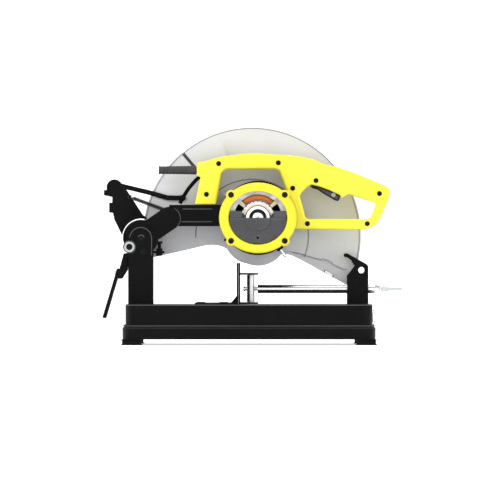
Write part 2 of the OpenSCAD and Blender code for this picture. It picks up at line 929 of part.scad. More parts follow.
rear_edge = [[-230, 144], [-124.2, 167.2], [-92.5, 174.8], [-79, 177.9], [-66.4, 178.9], [-56, 178.2],
  [-47.2, 175.5], [-34.7, 169.4], [-27.7, 164.9]];
front_edge = [[63.4, 168.1], [82, 166.2], [100.4, 161.6], [109.3, 157.1], [133.2, 150.7], [137, 152.6],
  [152.8, 143.1], [175.7, 130.7], [240, 96]];
mover_edge = [[63.5, 163.4], [77.4, 159.8], [100.4, 148.5], [135.4, 128.9], [170.1, 110], [240, 72]];

module guard_outline(r) {
  intersection() {
    translate(spin) circle(r);
    polygon(concat(rear_edge, front_edge, [[260, 430], [-260, 430]]));
  }
}

module fixed_guard() {
  y1 = guard_wid;
  color(alloy) difference() {
    union() {
      difference() {
        plate(0, y1) guard_outline(guard_r);
        rod(spin, guard_r - guard_t, guard_t, y1 - guard_t);
      }
      plate(case_y1, 0.2) guard_outline(101);
      rod(case_mid, case_r, case_y1, guard_t);
    }
    rod(spin, boss_r + 0.4, -3, 10);
    rod(spin, 42, y1 - 3, y1 + 1);
    plate(-1, guard_t + cut) {
      arc_strip(spin, link_r - 3.4, link_r + 3.4, 107, 156);
    }
    for (a = case_screws) rod(on_circle(case_mid, 49, a), 2.5, -3, guard_t + cut);
  }
}

// Overlapping end plates of the fixed guard's rim
module guard_bands() {
  color(alloy) plate(0, guard_wid) difference() {
    intersection() {
      guard_outline(guard_r + 1.7);
      union() {
        arc_strip(spin, 100, guard_r + 5, 130, 215);
        arc_strip(spin, 100, guard_r + 5, -32, 24);
      }
    }
    translate(spin) circle(guard_r);
  }
}

module moving_guard() {
  y0 = 3;
  y1 = guard_wid - 3;
  sector = concat([on_circle(spin, 230, 172), spin], mover_edge, [[300, 72], [300, 430], [-260, 430]]);
  color(alloy) {
    difference() {
      union() {
        difference() {
          plate(y0, y1) intersection() {
            translate(spin) circle(mover_r);
            polygon(sector);
          }
          rod(spin, mover_r - mover_t, y0 + mover_t, y1 - mover_t);
        }
        rod(spin, 51, y0, y0 + mover_t);
      }
      rod(spin, boss_r + 0.4, y0 - 1, y0 + 3);
      rod(spin, 62, y1 - 3, y1 + 1);
    }
    rod(link_eye, 2.5, -1.5, y0 + 1);
  }
}

module slot_seal() {
  color(soft_black) difference() {
    plate(2.3, 3) arc_strip(spin, link_r - 4.4, link_r + 4.4, 108, 158);
    rod(link_eye, 2.5, 0, 4);
  }
}

module guard_clip() {
  a = [135.4, 131.5];
  b = [151.5, 122.4];
  d = b - a;
  color(zinc) {
    translate([a[0], 1.4, a[1]]) rotate([0, 90 - atan2(d[1], d[0]), 0]) cylinder(r = 1.55, h = norm(d));
    for (p = [a, b]) rod(p, 1.5, 0, 3);
  }
}

// Corner of a flat bar's edge where it bends at b, on the side given by the sign of w
function bend_point(a, b, c, w) =
  let (u = (b - a) / norm(b - a), v = (c - b) / norm(c - b), n = [-u[1] - v[1], u[0] + v[0]])
  b + n / norm(n) * w / sqrt((1 + u * v) / 2);

module guard_link() {
  way = [link_anchor, [-175.5, 272], [-146.7, 263.7], [-131, 263.4], link_eye];
  path = concat([2 * way[0] - way[1]], way, [2 * way[4] - way[3]]);
  sides = [for (w = [4.3, -4.3]) [for (i = [1 : 5]) bend_point(path[i - 1], path[i], path[i + 1], w)]];
  color(black_paint) {
    difference() {
      plate(link_y0, link_y1) {
        polygon(concat(sides[0], [for (i = [4 : -1 : 0]) sides[1][i]]));
        translate(link_anchor) circle(8);
        translate(link_eye) circle(5.4);
      }
      rod(link_anchor, 3 + run_gap, link_y0 - 1, link_y1 + 1);
    }
    rod(link_eye, 4.1, -6.6, link_y0 + 1);
  }
}

// ---------------------------------------------------------------- handle

handle_outer = [[-94, 326.9], [-78.3, 328.3], [-61.2, 334.3], [-37.8, 338.6], [-7.2, 342.2], [16.2, 342.9],
  [41.4, 340.9], [66.6, 340], [94.1, 336.8], [118.1, 331], [132.7, 323.8], [156.8, 319], [182.5, 310.1],
  [214.6, 297.4], [238.7, 286.9], [249.5, 281.8], [252.4, 277], [252.4, 271], [250, 260.5], [240.3, 236.3],
  [230.6, 218.5], [221, 210.6], [208.1, 206.5], [70, 207.2], [60, 262], [67.3, 275.4], [54.9, 310.5],
  [48.6, 314.6], [-41.4, 314.6], [-49.1, 307.1], [-58.1, 251], [-97.4, 251], [-86.5, 301.5], [-93.2, 301.5]];
grip_window = [[111.5, 287.3], [104, 283], [93, 270.5], [90.9, 266.8], [98.1, 241], [101, 228.5], [104, 225.6],
  [208.1, 225], [215, 226.2], [219.4, 229], [225.9, 247.5], [227.5, 252.4], [225, 254.6], [217.8, 256.3],
  [211.3, 259.4], [179.3, 270.4], [170, 265.5], [165.6, 262], [164.7, 267.7], [146, 276.5], [127.8, 283.2]];
handle_screw_points = [[-54.4, 324.5], [52.6, 326], [-76.3, 269.5], [78.3, 280.4], [120.1, 294.1],
  [233.8, 270.9], [104.6, 216.9], [211.9, 216.9]];

module handle_profile() {
  difference() {
    polygon(handle_outer);
    polygon(grip_window);
    translate(motor) circle(motor_r + 0.6);
  }
}

module handle_cavity() {
  difference() {
    offset(delta = -handle_wall) handle_profile();
    for (p = handle_screw_points) translate(p) circle(5.5);
  }
}

// The channel that the trigger swings in
module trigger_room(y0, y1) {
  plate(y0, y1) polygon([[105.5, 276], [105.5, 292], [128, 296], [172, 286], [172, 268], [163, 250], [150, 250]]);
}

module handle_half(side) {
  y0 = side < 0 ? handle_y - handle_thick / 2 : handle_y;
  y1 = y0 + handle_thick / 2;
  c0 = side < 0 ? y0 + handle_wall : y0 - 1;
  c1 = side < 0 ? y1 + 1 : y1 - handle_wall;
  color(yellow) difference() {
    plate(y0, y1) handle_profile();
    plate(c0, c1) handle_cavity();
    trigger_room(handle_y - 11, handle_y + 11);
    for (p = handle_screw_points) rod(p, 2, y0 - 1, y1 + 1);
    for (p = handle_screw_points) rod(p, 4.6, handle_y - 20, handle_y - handle_thick / 2 + 2.5);
    rod_x(-110, -60, handle_y, 313, 5.5);
    rod(trigger_pin, 2.1 + run_gap, handle_y - 15, handle_y + 15);
  }
}

module handle_left() {
  handle_half(-1);
}

module handle_right() {
  handle_half(1);
}

module handle_screws() {
  y0 = handle_y - handle_thick / 2;
  color(soft_black) for (p = handle_screw_points) {
    rod(p, 2, y0 + 1.5, y0 + 30);
    difference() {
      rod(p, 4.5, y0 - 0.3, y0 + 2.5);
      rod(p, 1.8, y0 - 1, y0 + 1.2, $fn = 6);
    }
  }
}

module switch_body() {
  color(dark_grey) translate([148, handle_y, 301]) rotate([0, 17, 0]) cube([40, 24, 17], center = true);
}

module cord_boot() {
  color(soft_black) difference() {
    union() {
      translate([-162, handle_y, 313]) rotate([0, 90, 0]) cylinder(r1 = 6.95, r2 = 7.8, h = 67.7);
      rod_x(-162, -159.4, handle_y, 313, 7.7);
      rod_x(-95, -82, handle_y, 313, 5.5);
    }
    rod_x(-163, -90, handle_y, 313, 4.25);
  }
}

module trigger() {
  y0 = handle_y - 6;
  color(dark_grey) difference() {
    union() {
      plate(y0, y0 + 12) polygon([[109.3, 286], [115, 286.2], [127.8, 283], [146, 276], [164.2, 267.4],
        [162.4, 261], [160, 257.2], [153.5, 258.8], [145, 264.2], [134.3, 270], [122.9, 278.1], [113.4, 280.4]]);
      rod(trigger_pin, 2.1, handle_y - 14.5, handle_y + 14.5);
    }
    rod([151.6, 268.7], 4 + run_gap, y0 - 1, y0 + 13);
  }
}

module lock_button() {
  color(alloy) {
    rod([151.6, 268.7], 4, handle_y - 8, handle_y + 5.5);
    rod([151.6, 268.7], 3.4, handle_y - 9.2, handle_y - 7.9);
  }
}

base_pan();
rubber_feet();
rear_post();
base_bolts();
pivot_bolt();
depth_stop();
link_bracket();
stop_screw();
front_bracket();
vise_nut();
fence_bolts();
key_clip();
fence();
flap_holder();
spark_flap();
flap_screws();
lock_pin();
guard_link();
lift_spring();
arm_casting();
arm_bushes();
gear_case();
motor_housing();
end_ring();
end_ring_screws();
end_plate();
bearing_bridge();
stator_core();
field_coils();
brush_holders();
brushes();
motor_bearings();
spindle_bearings();
fixed_guard();
guard_bands();
guard_screws();
guard_retainer();
handle_left();
handle_right();
handle_screws();
switch_body();
cord_boot();
armature_shaft();
armature_core();
commutator();
motor_fan();
spindle();
drive_gear();
clamp_flanges();
flange_bolt();
moving_guard();
slot_seal();
guard_clip();
trigger();
lock_button();
vise_barrel();
vise_screw();
vise_crank();
vise_jaw();
shaft_lock();
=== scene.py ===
"""Abrasive chop saw with its head lowered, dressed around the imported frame."""

import json
import logging
import math
from dataclasses import dataclass
from enum import Enum
from typing import Any, Callable, Optional, Sequence, Union

import bmesh
import bpy
import numpy as np
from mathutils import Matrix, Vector
from mathutils.bvhtree import BVHTree
from mathutils.geometry import delaunay_2d_cdt


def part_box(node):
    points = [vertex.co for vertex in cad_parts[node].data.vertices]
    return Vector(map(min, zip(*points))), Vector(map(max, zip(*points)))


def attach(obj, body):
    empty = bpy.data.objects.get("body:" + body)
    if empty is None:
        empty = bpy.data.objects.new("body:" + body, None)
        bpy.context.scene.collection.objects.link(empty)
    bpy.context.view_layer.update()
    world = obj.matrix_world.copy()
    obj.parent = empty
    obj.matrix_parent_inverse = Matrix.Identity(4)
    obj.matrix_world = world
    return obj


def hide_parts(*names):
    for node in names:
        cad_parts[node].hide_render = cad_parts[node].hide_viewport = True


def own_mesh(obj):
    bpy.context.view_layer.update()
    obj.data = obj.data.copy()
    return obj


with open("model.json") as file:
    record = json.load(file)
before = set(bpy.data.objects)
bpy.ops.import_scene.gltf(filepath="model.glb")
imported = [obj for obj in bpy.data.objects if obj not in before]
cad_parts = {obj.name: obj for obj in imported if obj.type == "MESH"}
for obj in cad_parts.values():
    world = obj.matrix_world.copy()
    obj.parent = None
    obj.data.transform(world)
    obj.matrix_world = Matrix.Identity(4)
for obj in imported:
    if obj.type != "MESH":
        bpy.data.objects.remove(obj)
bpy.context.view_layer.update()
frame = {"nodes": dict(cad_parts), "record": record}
LOG = logging.getLogger("chop_saw")
MM = 0.001
Colour = tuple[float, float, float]


# ------------------------------------------------------------------ shader kit


class Value:
    """A shader value that can be added to and multiplied."""

    def __init__(self, shade: "Shade", socket: bpy.types.NodeSocket) -> None:
        """Keeps the socket that the value comes from.

        Args:
            shade: the material in the making.
            socket: the node output that carries the value.
        """
        self.shade = shade
        self.socket = socket

    def _math(self, operation: str, other: Any) -> "Value":
        """Adds one Math node and returns its result."""
        return self.shade.node("ShaderNodeMath", {"operation": operation}, {0: self, 1: other})

    def __add__(self, other: Any) -> "Value":
        """Sum."""
        return self._math("ADD", other)

    __radd__ = __add__

    def __mul__(self, other: Any) -> "Value":
        """Product."""
        return self._math("MULTIPLY", other)


class Shade:
    """One material in the making: its node tree and its Principled shader."""

    def __init__(self, name: str) -> None:
        """Starts an empty material.

        Args:
            name: the finish's name.
        """
        self.material = bpy.data.materials.new(name)
        self.material.use_nodes = True
        self.tree = self.material.node_tree
        self.shader = self.tree.nodes["Principled BSDF"]

    def node(
        self,
        kind: str,
        settings: Optional[dict[str, Any]] = None,
        sockets: Optional[dict[Any, Any]] = None,
        out: Union[int, str] = 0,
    ) -> Value:
        """Adds any node.

        Args:
            kind: the node's type.
            settings: properties set first.
            sockets: values or links of its inputs.
            out: the output that is returned.

        Returns:
            The chosen output as a Value.
        """
        made = self.tree.nodes.new(kind)
        for key, setting in (settings or {}).items():
            setattr(made, key, setting)
        for key, given in (sockets or {}).items():
            if isinstance(given, Value):
                self.tree.links.new(given.socket, made.inputs[key])
            else:
                made.inputs[key].default_value = given
        return Value(self, made.outputs[out])

    def place(self, stretch: Sequence[float] = (1, 1, 1), centre: Sequence[float] = (0, 0, 0)) -> Value:
        """Returns Object coordinates, moved by centre and then stretched along each axis."""
        here = self.node("ShaderNodeTexCoord", out="Object")
        moved = self.node("ShaderNodeVectorMath", {"operation": "SUBTRACT"}, {0: here, 1: tuple(centre)})
        return self.node("ShaderNodeVectorMath", {"operation": "MULTIPLY"}, {0: moved, 1: tuple(stretch)})

    def noise(self, scale: float, detail: float = 3.0, where: Optional[Value] = None) -> Value:
        """Returns fractal noise from 0 to 1 with about scale cells to the metre."""
        spot = where or self.place()
        return self.node("ShaderNodeTexNoise", {}, {"Vector": spot, "Scale": scale, "Detail": detail})

    def spread(self, value: Value, low: float, high: float, out_low: float, out_high: float) -> Value:
        """Maps low..high to out_low..out_high and clamps it."""
        sockets = {0: value, 1: low, 2: high, 3: out_low, 4: out_high}
        return self.node("ShaderNodeMapRange", {"clamp": True}, sockets)

    def blend(self, factor: Value, a: Any, b: Any) -> Value:
        """Mixes colour a towards colour b by factor."""
        first = a if isinstance(a, Value) else (*a, 1.0)
        second = b if isinstance(b, Value) else (*b, 1.0)
        return self.node("ShaderNodeMix", {"data_type": "RGBA"}, {0: factor, 6: first, 7: second}, out=2)

    def upward(self) -> Value:
        """Returns how far the surface faces up, from -1 to 1."""
        normal = self.node("ShaderNodeNewGeometry", out="Normal")
        return self.node("ShaderNodeSeparateXYZ", {}, {0: normal}, out="Z")

    def bump(self, height: Value, depth: float) -> None:
        """Feeds a height, of the given depth in metres, to the shader's Normal."""
        sockets = {"Height": height, "Strength": 1.0, "Distance": depth}
        self.feed("Normal", self.node("ShaderNodeBump", {}, sockets))

    def feed(self, name: str, given: Any) -> None:
        """Links a Value to a shader socket, or sets a constant on it."""
        if isinstance(given, Value):
            self.tree.links.new(given.socket, self.shader.inputs[name])
        else:
            self.shader.inputs[name].default_value = given


# ------------------------------------------------------------------ finishes


@dataclass(frozen=True)
class Finish:
    """A finish: its colours, gloss and relief. Subclasses say how it varies."""

    name: str
    colour: Colour
    shadow: Colour
    rough: float
    metallic: float = 0.0
    depth: float = 0.00005
    gloss: float = 0.5

    def vary(self, shade: Shade) -> tuple[Any, Any, Value]:
        """Returns the base colour, the roughness and the relief height."""
        raise NotImplementedError

    def build(self) -> bpy.types.Material:
        """Builds the material once and returns it.

        Returns:
            The finished Blender material.
        """
        known = bpy.data.materials.get(self.name)
        if known:
            return known
        shade = Shade(self.name)
        colour, rough, height = self.vary(shade)
        shade.feed("Base Color", colour)
        shade.feed("Roughness", rough)
        shade.feed("Metallic", self.metallic)
        shade.feed("Specular IOR Level", self.gloss)
        shade.bump(height, self.depth)
        return shade.material


@dataclass(frozen=True)
class PowderCoat(Finish):
    """Sprayed powder: a fine orange peel, a little dust on what faces up that is also a painted highlight on
    those faces, and rare pale nicks.
    """

    peel: float = 900.0
    dust_and_light: float = 0.18

    def vary(self, shade: Shade) -> tuple[Any, Any, Value]:
        """Returns the base colour, the roughness and the relief height."""
        peel = shade.noise(self.peel, 2)
        cloud = shade.noise(18, 5)
        tone = shade.blend(cloud, self.colour, self.shadow)
        # dust and a painted highlight together: a patchy lighter grey on faces that point up
        lying = shade.spread(shade.upward(), 0.6, 1.0, 0.0, self.dust_and_light)
        dust_and_light_mask = lying * shade.spread(shade.noise(60, 6), 0.35, 0.75, 0.0, 1.0)
        tone = shade.blend(dust_and_light_mask, tone, (0.20, 0.19, 0.18))
        nick = shade.spread(shade.noise(170, 1), 0.80, 0.83, 0.0, 0.5)
        tone = shade.blend(nick, tone, (0.12, 0.12, 0.12))
        rough = self.rough + cloud * 0.10 + dust_and_light_mask * 0.4
        return tone, rough, peel + shade.noise(220, 1) * 0.5


@dataclass(frozen=True)
class BlastedAlloy(Finish):
    """Blasted light alloy: fine pits, slow cloudy tone and painted shade that darkens it towards the hub."""

    centre: tuple[float, float, float] = (0.0055, 0.0, 0.1955)
    # how strong the painted shade is at the hub
    hub_shade: float = 0.6

    def vary(self, shade: Shade) -> tuple[Any, Any, Value]:
        """Returns the base colour, the roughness and the relief height."""
        pits = shade.noise(1500, 2)
        cloud = shade.noise(9, 4)
        flat = shade.place((1, 0, 1), self.centre)
        reach = shade.node("ShaderNodeVectorMath", {"operation": "LENGTH"}, {0: flat}, out="Value")
        # painted shade: the colour darkens towards the hub and fades out about 0.19 m from it
        hub_shade = shade.spread(reach + cloud * 0.05, 0.06, 0.19, self.hub_shade, 0.0)
        tone = shade.blend(hub_shade, self.colour, self.shadow)
        tone = shade.blend(shade.spread(cloud, 0.3, 0.7, 0.0, 0.25), tone, self.shadow)
        scratch = shade.noise(260, 3, shade.place((0.15, 1, 1.6)))
        mark = shade.spread(scratch, 0.68, 0.75, 0.0, 0.25)
        tone = shade.blend(mark, tone, (0.75, 0.76, 0.77))
        return tone, self.rough + pits * 0.12, pits


@dataclass(frozen=True)
class BrushedPlate(Finish):
    """Plated steel: fine lines along one way, faint spots and a slightly uneven gloss."""

    lines: tuple[float, float, float] = (0.05, 1.0, 1.0)

    def vary(self, shade: Shade) -> tuple[Any, Any, Value]:
        """Returns the base colour, the roughness and the relief height."""
        line = shade.noise(2600, 2, shade.place(self.lines))
        spot = shade.noise(120, 4)
        tone = shade.blend(shade.spread(spot, 0.45, 0.75, 0.0, 0.6), self.colour, self.shadow)
        return tone, self.rough + line * 0.12 + spot * 0.06, line


@dataclass(frozen=True)
class MouldedPlastic(Finish):
    """Injection-moulded plastic: a fine spark texture, slow flow shading and light scuffs."""

    spark: float = 1100.0
    scuff: float = 0.10

    def vary(self, shade: Shade) -> tuple[Any, Any, Value]:
        """Returns the base colour, the roughness and the relief height."""
        spark = shade.noise(self.spark, 3)
        flow = shade.noise(11, 2)
        tone = shade.blend(shade.spread(flow, 0.35, 0.7, 0.0, 1.0), self.colour, self.shadow)
        scuff = shade.spread(shade.noise(90, 6, shade.place((1, 1, 0.3))), 0.62, 0.72, 0.0, self.scuff)
        tone = shade.blend(scuff, tone, tuple(min(1.0, c * 1.15 + 0.02) for c in self.colour))
        return tone, self.rough + spark * 0.14 + scuff, spark


@dataclass(frozen=True)
class RubberSkin(Finish):
    """Moulded rubber: a matt skin with fine pores and grey bloom where dust settles."""

    def vary(self, shade: Shade) -> tuple[Any, Any, Value]:
        """Returns the base colour, the roughness and the relief height."""
        pore = shade.noise(1300, 4)
        bloom = shade.spread(shade.noise(45, 5), 0.45, 0.8, 0.0, 0.6)
        tone = shade.blend(bloom, self.colour, self.shadow)
        return tone, self.rough + pore * 0.1, pore


@dataclass(frozen=True)
class WoundWire(Finish):
    """Enamelled wire laid side by side: rounded strands along the piece's own U direction, with painted shade
    in the grooves between them.
    """

    strands: float = 26.0

    def vary(self, shade: Shade) -> tuple[Any, Any, Value]:
        """Returns the base colour, the roughness and the relief height."""
        across = shade.node("ShaderNodeSeparateXYZ", {}, {0: shade.node("ShaderNodeUVMap")}, out="Y")
        wave = shade.node("ShaderNodeMath", {"operation": "SINE"}, {0: across * (self.strands * math.tau)})
        strand = wave * 0.5 + 0.5
        # painted shade: the colour darkens towards the groove between two strands
        tone = shade.blend(shade.spread(strand, 0.0, 0.5, 0.85, 0.0), self.colour, self.shadow)
        tone = shade.blend(shade.spread(shade.noise(200), 0.5, 0.8, 0.0, 0.5), tone, self.shadow)
        return tone, self.rough + shade.noise(400) * 0.1, strand


@dataclass(frozen=True)
class StackedSheet(Finish):
    """Thin steel sheets stacked along the motor: fine lines across Y with dark gaps."""

    sheets: float = 1400.0

    def vary(self, shade: Shade) -> tuple[Any, Any, Value]:
        """Returns the base colour, the roughness and the relief height."""
        along = shade.node("ShaderNodeSeparateXYZ", {}, {0: shade.place()}, out="Y")
        wave = shade.node("ShaderNodeMath", {"operation": "SINE"}, {0: along * (self.sheets * math.tau / 2)})
        edge = wave * 0.5 + 0.5
        rust = shade.spread(shade.noise(80, 5), 0.45, 0.8, 0.0, 0.5)
        tone = shade.blend(shade.spread(edge, 0.0, 0.35, 0.7, 0.0), self.colour, self.shadow)
        return shade.blend(rust, tone, self.shadow), self.rough + rust * 0.2, edge


class Slot(Enum):
    """The record's material slots."""

    BASE = "base_paint"
    MOTOR = "motor_paint"
    RUBBER = "rubber"
    BLACK_STEEL = "black_steel"
    ZINC = "zinc"
    BRIGHT = "bright_steel"
    ALLOY = "alloy"
    BRONZE = "bronze"
    LAMINATION = "lamination"
    COPPER = "copper"
    HOLDER = "holder_plastic"
    CARBON = "carbon"
    YELLOW = "yellow_plastic"
    GREY = "grey_plastic"
    BUTTON = "button_plastic"


FINISHES: dict[Slot, Finish] = {
    Slot.BASE: PowderCoat("base_powder", (0.0022, 0.0022, 0.0024), (0.004, 0.004, 0.0043), 0.34, gloss=0.06),
    Slot.MOTOR: PowderCoat("motor_powder", (0.002, 0.002, 0.0022), (0.0035, 0.0035, 0.004), 0.4, gloss=0.05,
                           peel=1300),
    Slot.RUBBER: RubberSkin("foot_rubber", (0.003, 0.003, 0.0033), (0.006, 0.006, 0.006), 0.6, gloss=0.08),
    Slot.BLACK_STEEL: BrushedPlate("oxide_steel", (0.004, 0.004, 0.0045), (0.008, 0.008, 0.008), 0.36, 0.1,
                                   gloss=0.12),
    Slot.ZINC: BrushedPlate("zinc_plate", (0.62, 0.63, 0.64), (0.45, 0.46, 0.48), 0.27, 1.0, depth=0.00001),
    Slot.BRIGHT: BrushedPlate("polished_steel", (0.80, 0.81, 0.82), (0.66, 0.67, 0.69), 0.12, 1.0,
                              depth=0.000006),
    Slot.ALLOY: BlastedAlloy("guard_alloy", (0.60, 0.605, 0.63), (0.45, 0.455, 0.47), 0.5, 0.1),
    Slot.BRONZE: BrushedPlate("oil_bronze", (0.55, 0.36, 0.14), (0.32, 0.2, 0.08), 0.35, 1.0),
    Slot.LAMINATION: StackedSheet("core_sheet", (0.72, 0.72, 0.73), (0.30, 0.28, 0.26), 0.32, 0.9),
    Slot.COPPER: BrushedPlate("bar_copper", (0.80, 0.36, 0.14), (0.45, 0.20, 0.10), 0.28, 1.0,
                              lines=(1.0, 0.05, 1.0)),
    Slot.HOLDER: MouldedPlastic("holder_resin", (0.045, 0.045, 0.047), (0.075, 0.075, 0.078), 0.45),
    Slot.CARBON: MouldedPlastic("pressed_carbon", (0.02, 0.02, 0.021), (0.04, 0.04, 0.042), 0.55),
    Slot.YELLOW: MouldedPlastic("lemon_shell", (0.87, 0.78, 0.045), (0.82, 0.72, 0.035), 0.34,
                                depth=0.00003, gloss=0.35),
    Slot.GREY: MouldedPlastic("slate_shell", (0.05, 0.051, 0.054), (0.075, 0.075, 0.08), 0.5, gloss=0.3),
    Slot.BUTTON: MouldedPlastic("button_shell", (0.33, 0.33, 0.34), (0.26, 0.26, 0.27), 0.42),
}
ENAMEL = WoundWire("enamel_wire", (0.95, 0.28, 0.07), (0.55, 0.13, 0.03), 0.30, 0.1, depth=0.0004)
PALE_BAR = BrushedPlate("pale_bar", (0.86, 0.86, 0.85), (0.6, 0.58, 0.55), 0.3, 0.6)
CREAM = MouldedPlastic("cream_board", (0.80, 0.74, 0.55), (0.68, 0.61, 0.42), 0.5)
SPRING_STEEL = BrushedPlate("spring_steel", (0.035, 0.035, 0.037), (0.07, 0.07, 0.07), 0.33, 0.8)
SEAM_PAINT = PowderCoat("seam_sealer", (0.016, 0.016, 0.017), (0.03, 0.03, 0.03), 0.5)
# a darker copy of the guard's alloy: painted shade along the guard's rim, its step and its lower ridge
SHADED_ALLOY = BlastedAlloy("painted_shade_alloy", (0.27, 0.273, 0.28), (0.2, 0.203, 0.21), 0.5, 0.3)
# a darker copy of the handle's yellow: painted shade on the motor's end ring
SHADED_YELLOW = MouldedPlastic("painted_shade_yellow", (0.74, 0.63, 0.02), (0.68, 0.57, 0.018), 0.36, depth=0.00002,
                             gloss=0.3)
# lighter paint for thin beads along edges, ridges and steps: painted highlights
EDGE_HIGHLIGHT = PowderCoat("painted_edge_highlight", (0.075, 0.075, 0.077), (0.04, 0.04, 0.041), 0.4, gloss=0.3)
# a fainter painted highlight, for the bead at the foot of the pan's step
FAINT_HIGHLIGHT = PowderCoat("painted_faint_highlight", (0.022, 0.022, 0.023), (0.013, 0.013, 0.0135), 0.4, gloss=0.3)
BOOT_RUBBER = RubberSkin("boot_rubber", (0.022, 0.022, 0.023), (0.032, 0.032, 0.033), 0.45, gloss=0.4)
CRANK_STEEL = BrushedPlate("crank_steel", (0.5, 0.51, 0.52), (0.36, 0.37, 0.38), 0.36, 0.5)
PIN_STEEL = BrushedPlate("pin_steel", (0.42, 0.43, 0.44), (0.3, 0.31, 0.32), 0.4, 0.6)
NODE_FINISH: dict[str, Finish] = {
    "lock_pin": PIN_STEEL,
    "guard_link": FINISHES[Slot.BASE],
    "vise_crank": CRANK_STEEL,
    "cord_boot": BOOT_RUBBER,
    "motor_bearings": FINISHES[Slot.BLACK_STEEL],
    "bearing_bridge": FINISHES[Slot.HOLDER],
    "fence_bolts": FINISHES[Slot.BLACK_STEEL],
    "motor_fan": FINISHES[Slot.CARBON],
}
DOT_WHITE = MouldedPlastic("white_plug", (0.85, 0.85, 0.85), (0.75, 0.75, 0.75), 0.4)


# ------------------------------------------------------------------ mesh kit

WELD = 0.00001  # vertices nearer than this, in metres, become one
SCREW_HOLE = 3.0  # the least width of an outline that a plate keeps, in millimetres
WINDOW = 14.0  # an outline wider than this, in millimetres, gets a round edge; a smaller one is a screw hole
HAIRLINE = 0.35  # the small bevel on the flat side of a plate, in millimetres
CREASE = 35  # a CAD edge folded by more than this, in degrees, is rounded


def settle(obj: bpy.types.Object, finish: Finish, body: str, slot: Slot, *nodes: str) -> bpy.types.Object:
    """Dresses a new piece, lets it ride on its body and hides the nodes that it replaces.

    Args:
        obj: the new piece.
        finish: what it is finished in.
        body: the record's body that it moves with.
        slot: the record's material slot that it belongs to; not used.
        nodes: the CAD nodes that it replaces, if any.

    Returns:
        The same piece.
    """
    obj.data.materials.clear()
    obj.data.materials.append(finish.build())
    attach(obj, body)
    if nodes:
        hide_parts(*nodes)
    LOG.info("made %s on %s", obj.name, body)
    return obj


def add_object(name: str, mesh: bpy.types.Mesh, angle: float = 32.0) -> bpy.types.Object:
    """Links a mesh as a smooth-shaded object with sharp edges past the angle.

    Args:
        name: the piece's name.
        mesh: its mesh.
        angle: the crease angle in degrees.

    Returns:
        The new object.
    """
    mesh.shade_smooth()
    mesh.set_sharp_from_angle(angle=math.radians(angle))
    obj = bpy.data.objects.new(name, mesh)
    bpy.context.scene.collection.objects.link(obj)
    return obj


def grid_faces(rows: int, cols: int, close_rows: bool, close_cols: bool) -> np.ndarray:
    """Returns the quads of a rows by cols grid: corner (i, j), (i, j+1), (i+1, j+1), (i+1, j), with wrap."""
    i, j = np.indices((rows if close_rows else rows - 1, cols if close_cols else cols - 1)).reshape(2, -1)
    up, over = (i + 1) % rows, (j + 1) % cols
    return np.stack([i * cols + j, i * cols + over, up * cols + over, up * cols + j], axis=1)


def surface(
    name: str,
    patches: Sequence[np.ndarray],
    close_rows: bool = False,
    close_cols: bool = True,
    capped: bool = True,
    angle: float = 32.0,
) -> bpy.types.Object:
    """Makes one object from point grids, with flat caps on open tube ends and normals turned outwards.

    Args:
        name: the piece's name.
        patches: arrays of rows x columns x 3 points, in metres.
        close_rows: joins the last row to the first.
        close_cols: joins the last column to the first.
        capped: closes the two ends of each open tube with a polygon.
        angle: the crease angle in degrees.

    Returns:
        The new object, with a UV map: U runs along the rows and V along the columns.
    """
    verts, faces, shift = [], [], 0
    for points in patches:
        rows, cols = points.shape[:2]
        verts.append(points.reshape(-1, 3))
        faces.extend((grid_faces(rows, cols, close_rows, close_cols) + shift).tolist())
        if capped and close_cols and not close_rows:
            faces.append((np.arange(cols)[::-1] + shift).tolist())
            faces.append((np.arange(cols) + shift + (rows - 1) * cols).tolist())
        shift += rows * cols
    mesh = bpy.data.meshes.new(name)
    mesh.from_pydata(np.concatenate(verts).tolist(), [], faces)
    tool = bmesh.new()
    tool.from_mesh(mesh)
    bmesh.ops.recalc_face_normals(tool, faces=tool.faces[:])
    tool.to_mesh(mesh)
    tool.free()
    rows, cols = patches[0].shape[:2]
    corner = np.zeros(len(mesh.loops), dtype=np.int64)
    mesh.loops.foreach_get("vertex_index", corner)
    place = corner % (rows * cols)
    uv = np.stack([(place // cols) / max(rows, 1), (place % cols) / cols], axis=1)
    layer = mesh.uv_layers.new(name="UVMap")
    layer.data.foreach_set("uv", uv.astype(np.float32).ravel())
    return add_object(name, mesh, angle)


def at_depth(flat: np.ndarray, y: Any) -> np.ndarray:
    """Returns points given as X and Z, in millimetres, as points in metres at the depths y."""
    return np.stack([flat[..., 0], np.broadcast_to(y, flat.shape[:-1]), flat[..., 1]], axis=-1) * MM


def about(centre: Sequence[float], radius: Any, angle: Any, y: Any) -> np.ndarray:
    """Places points round an axis that runs along Y.

    Args:
        centre: a point of the axis, in millimetres.
        radius: the distances from the axis in millimetres.
        angle: the angles in radians, from +X towards +Z.
        y: the depths in millimetres.

    Returns:
        The points in metres, one for each entry of the three broadcast together.
    """
    x, z = centre[0] + radius * np.cos(angle), centre[2] + radius * np.sin(angle)
    return at_depth(np.stack(np.broadcast_arrays(x, z), axis=-1), y)


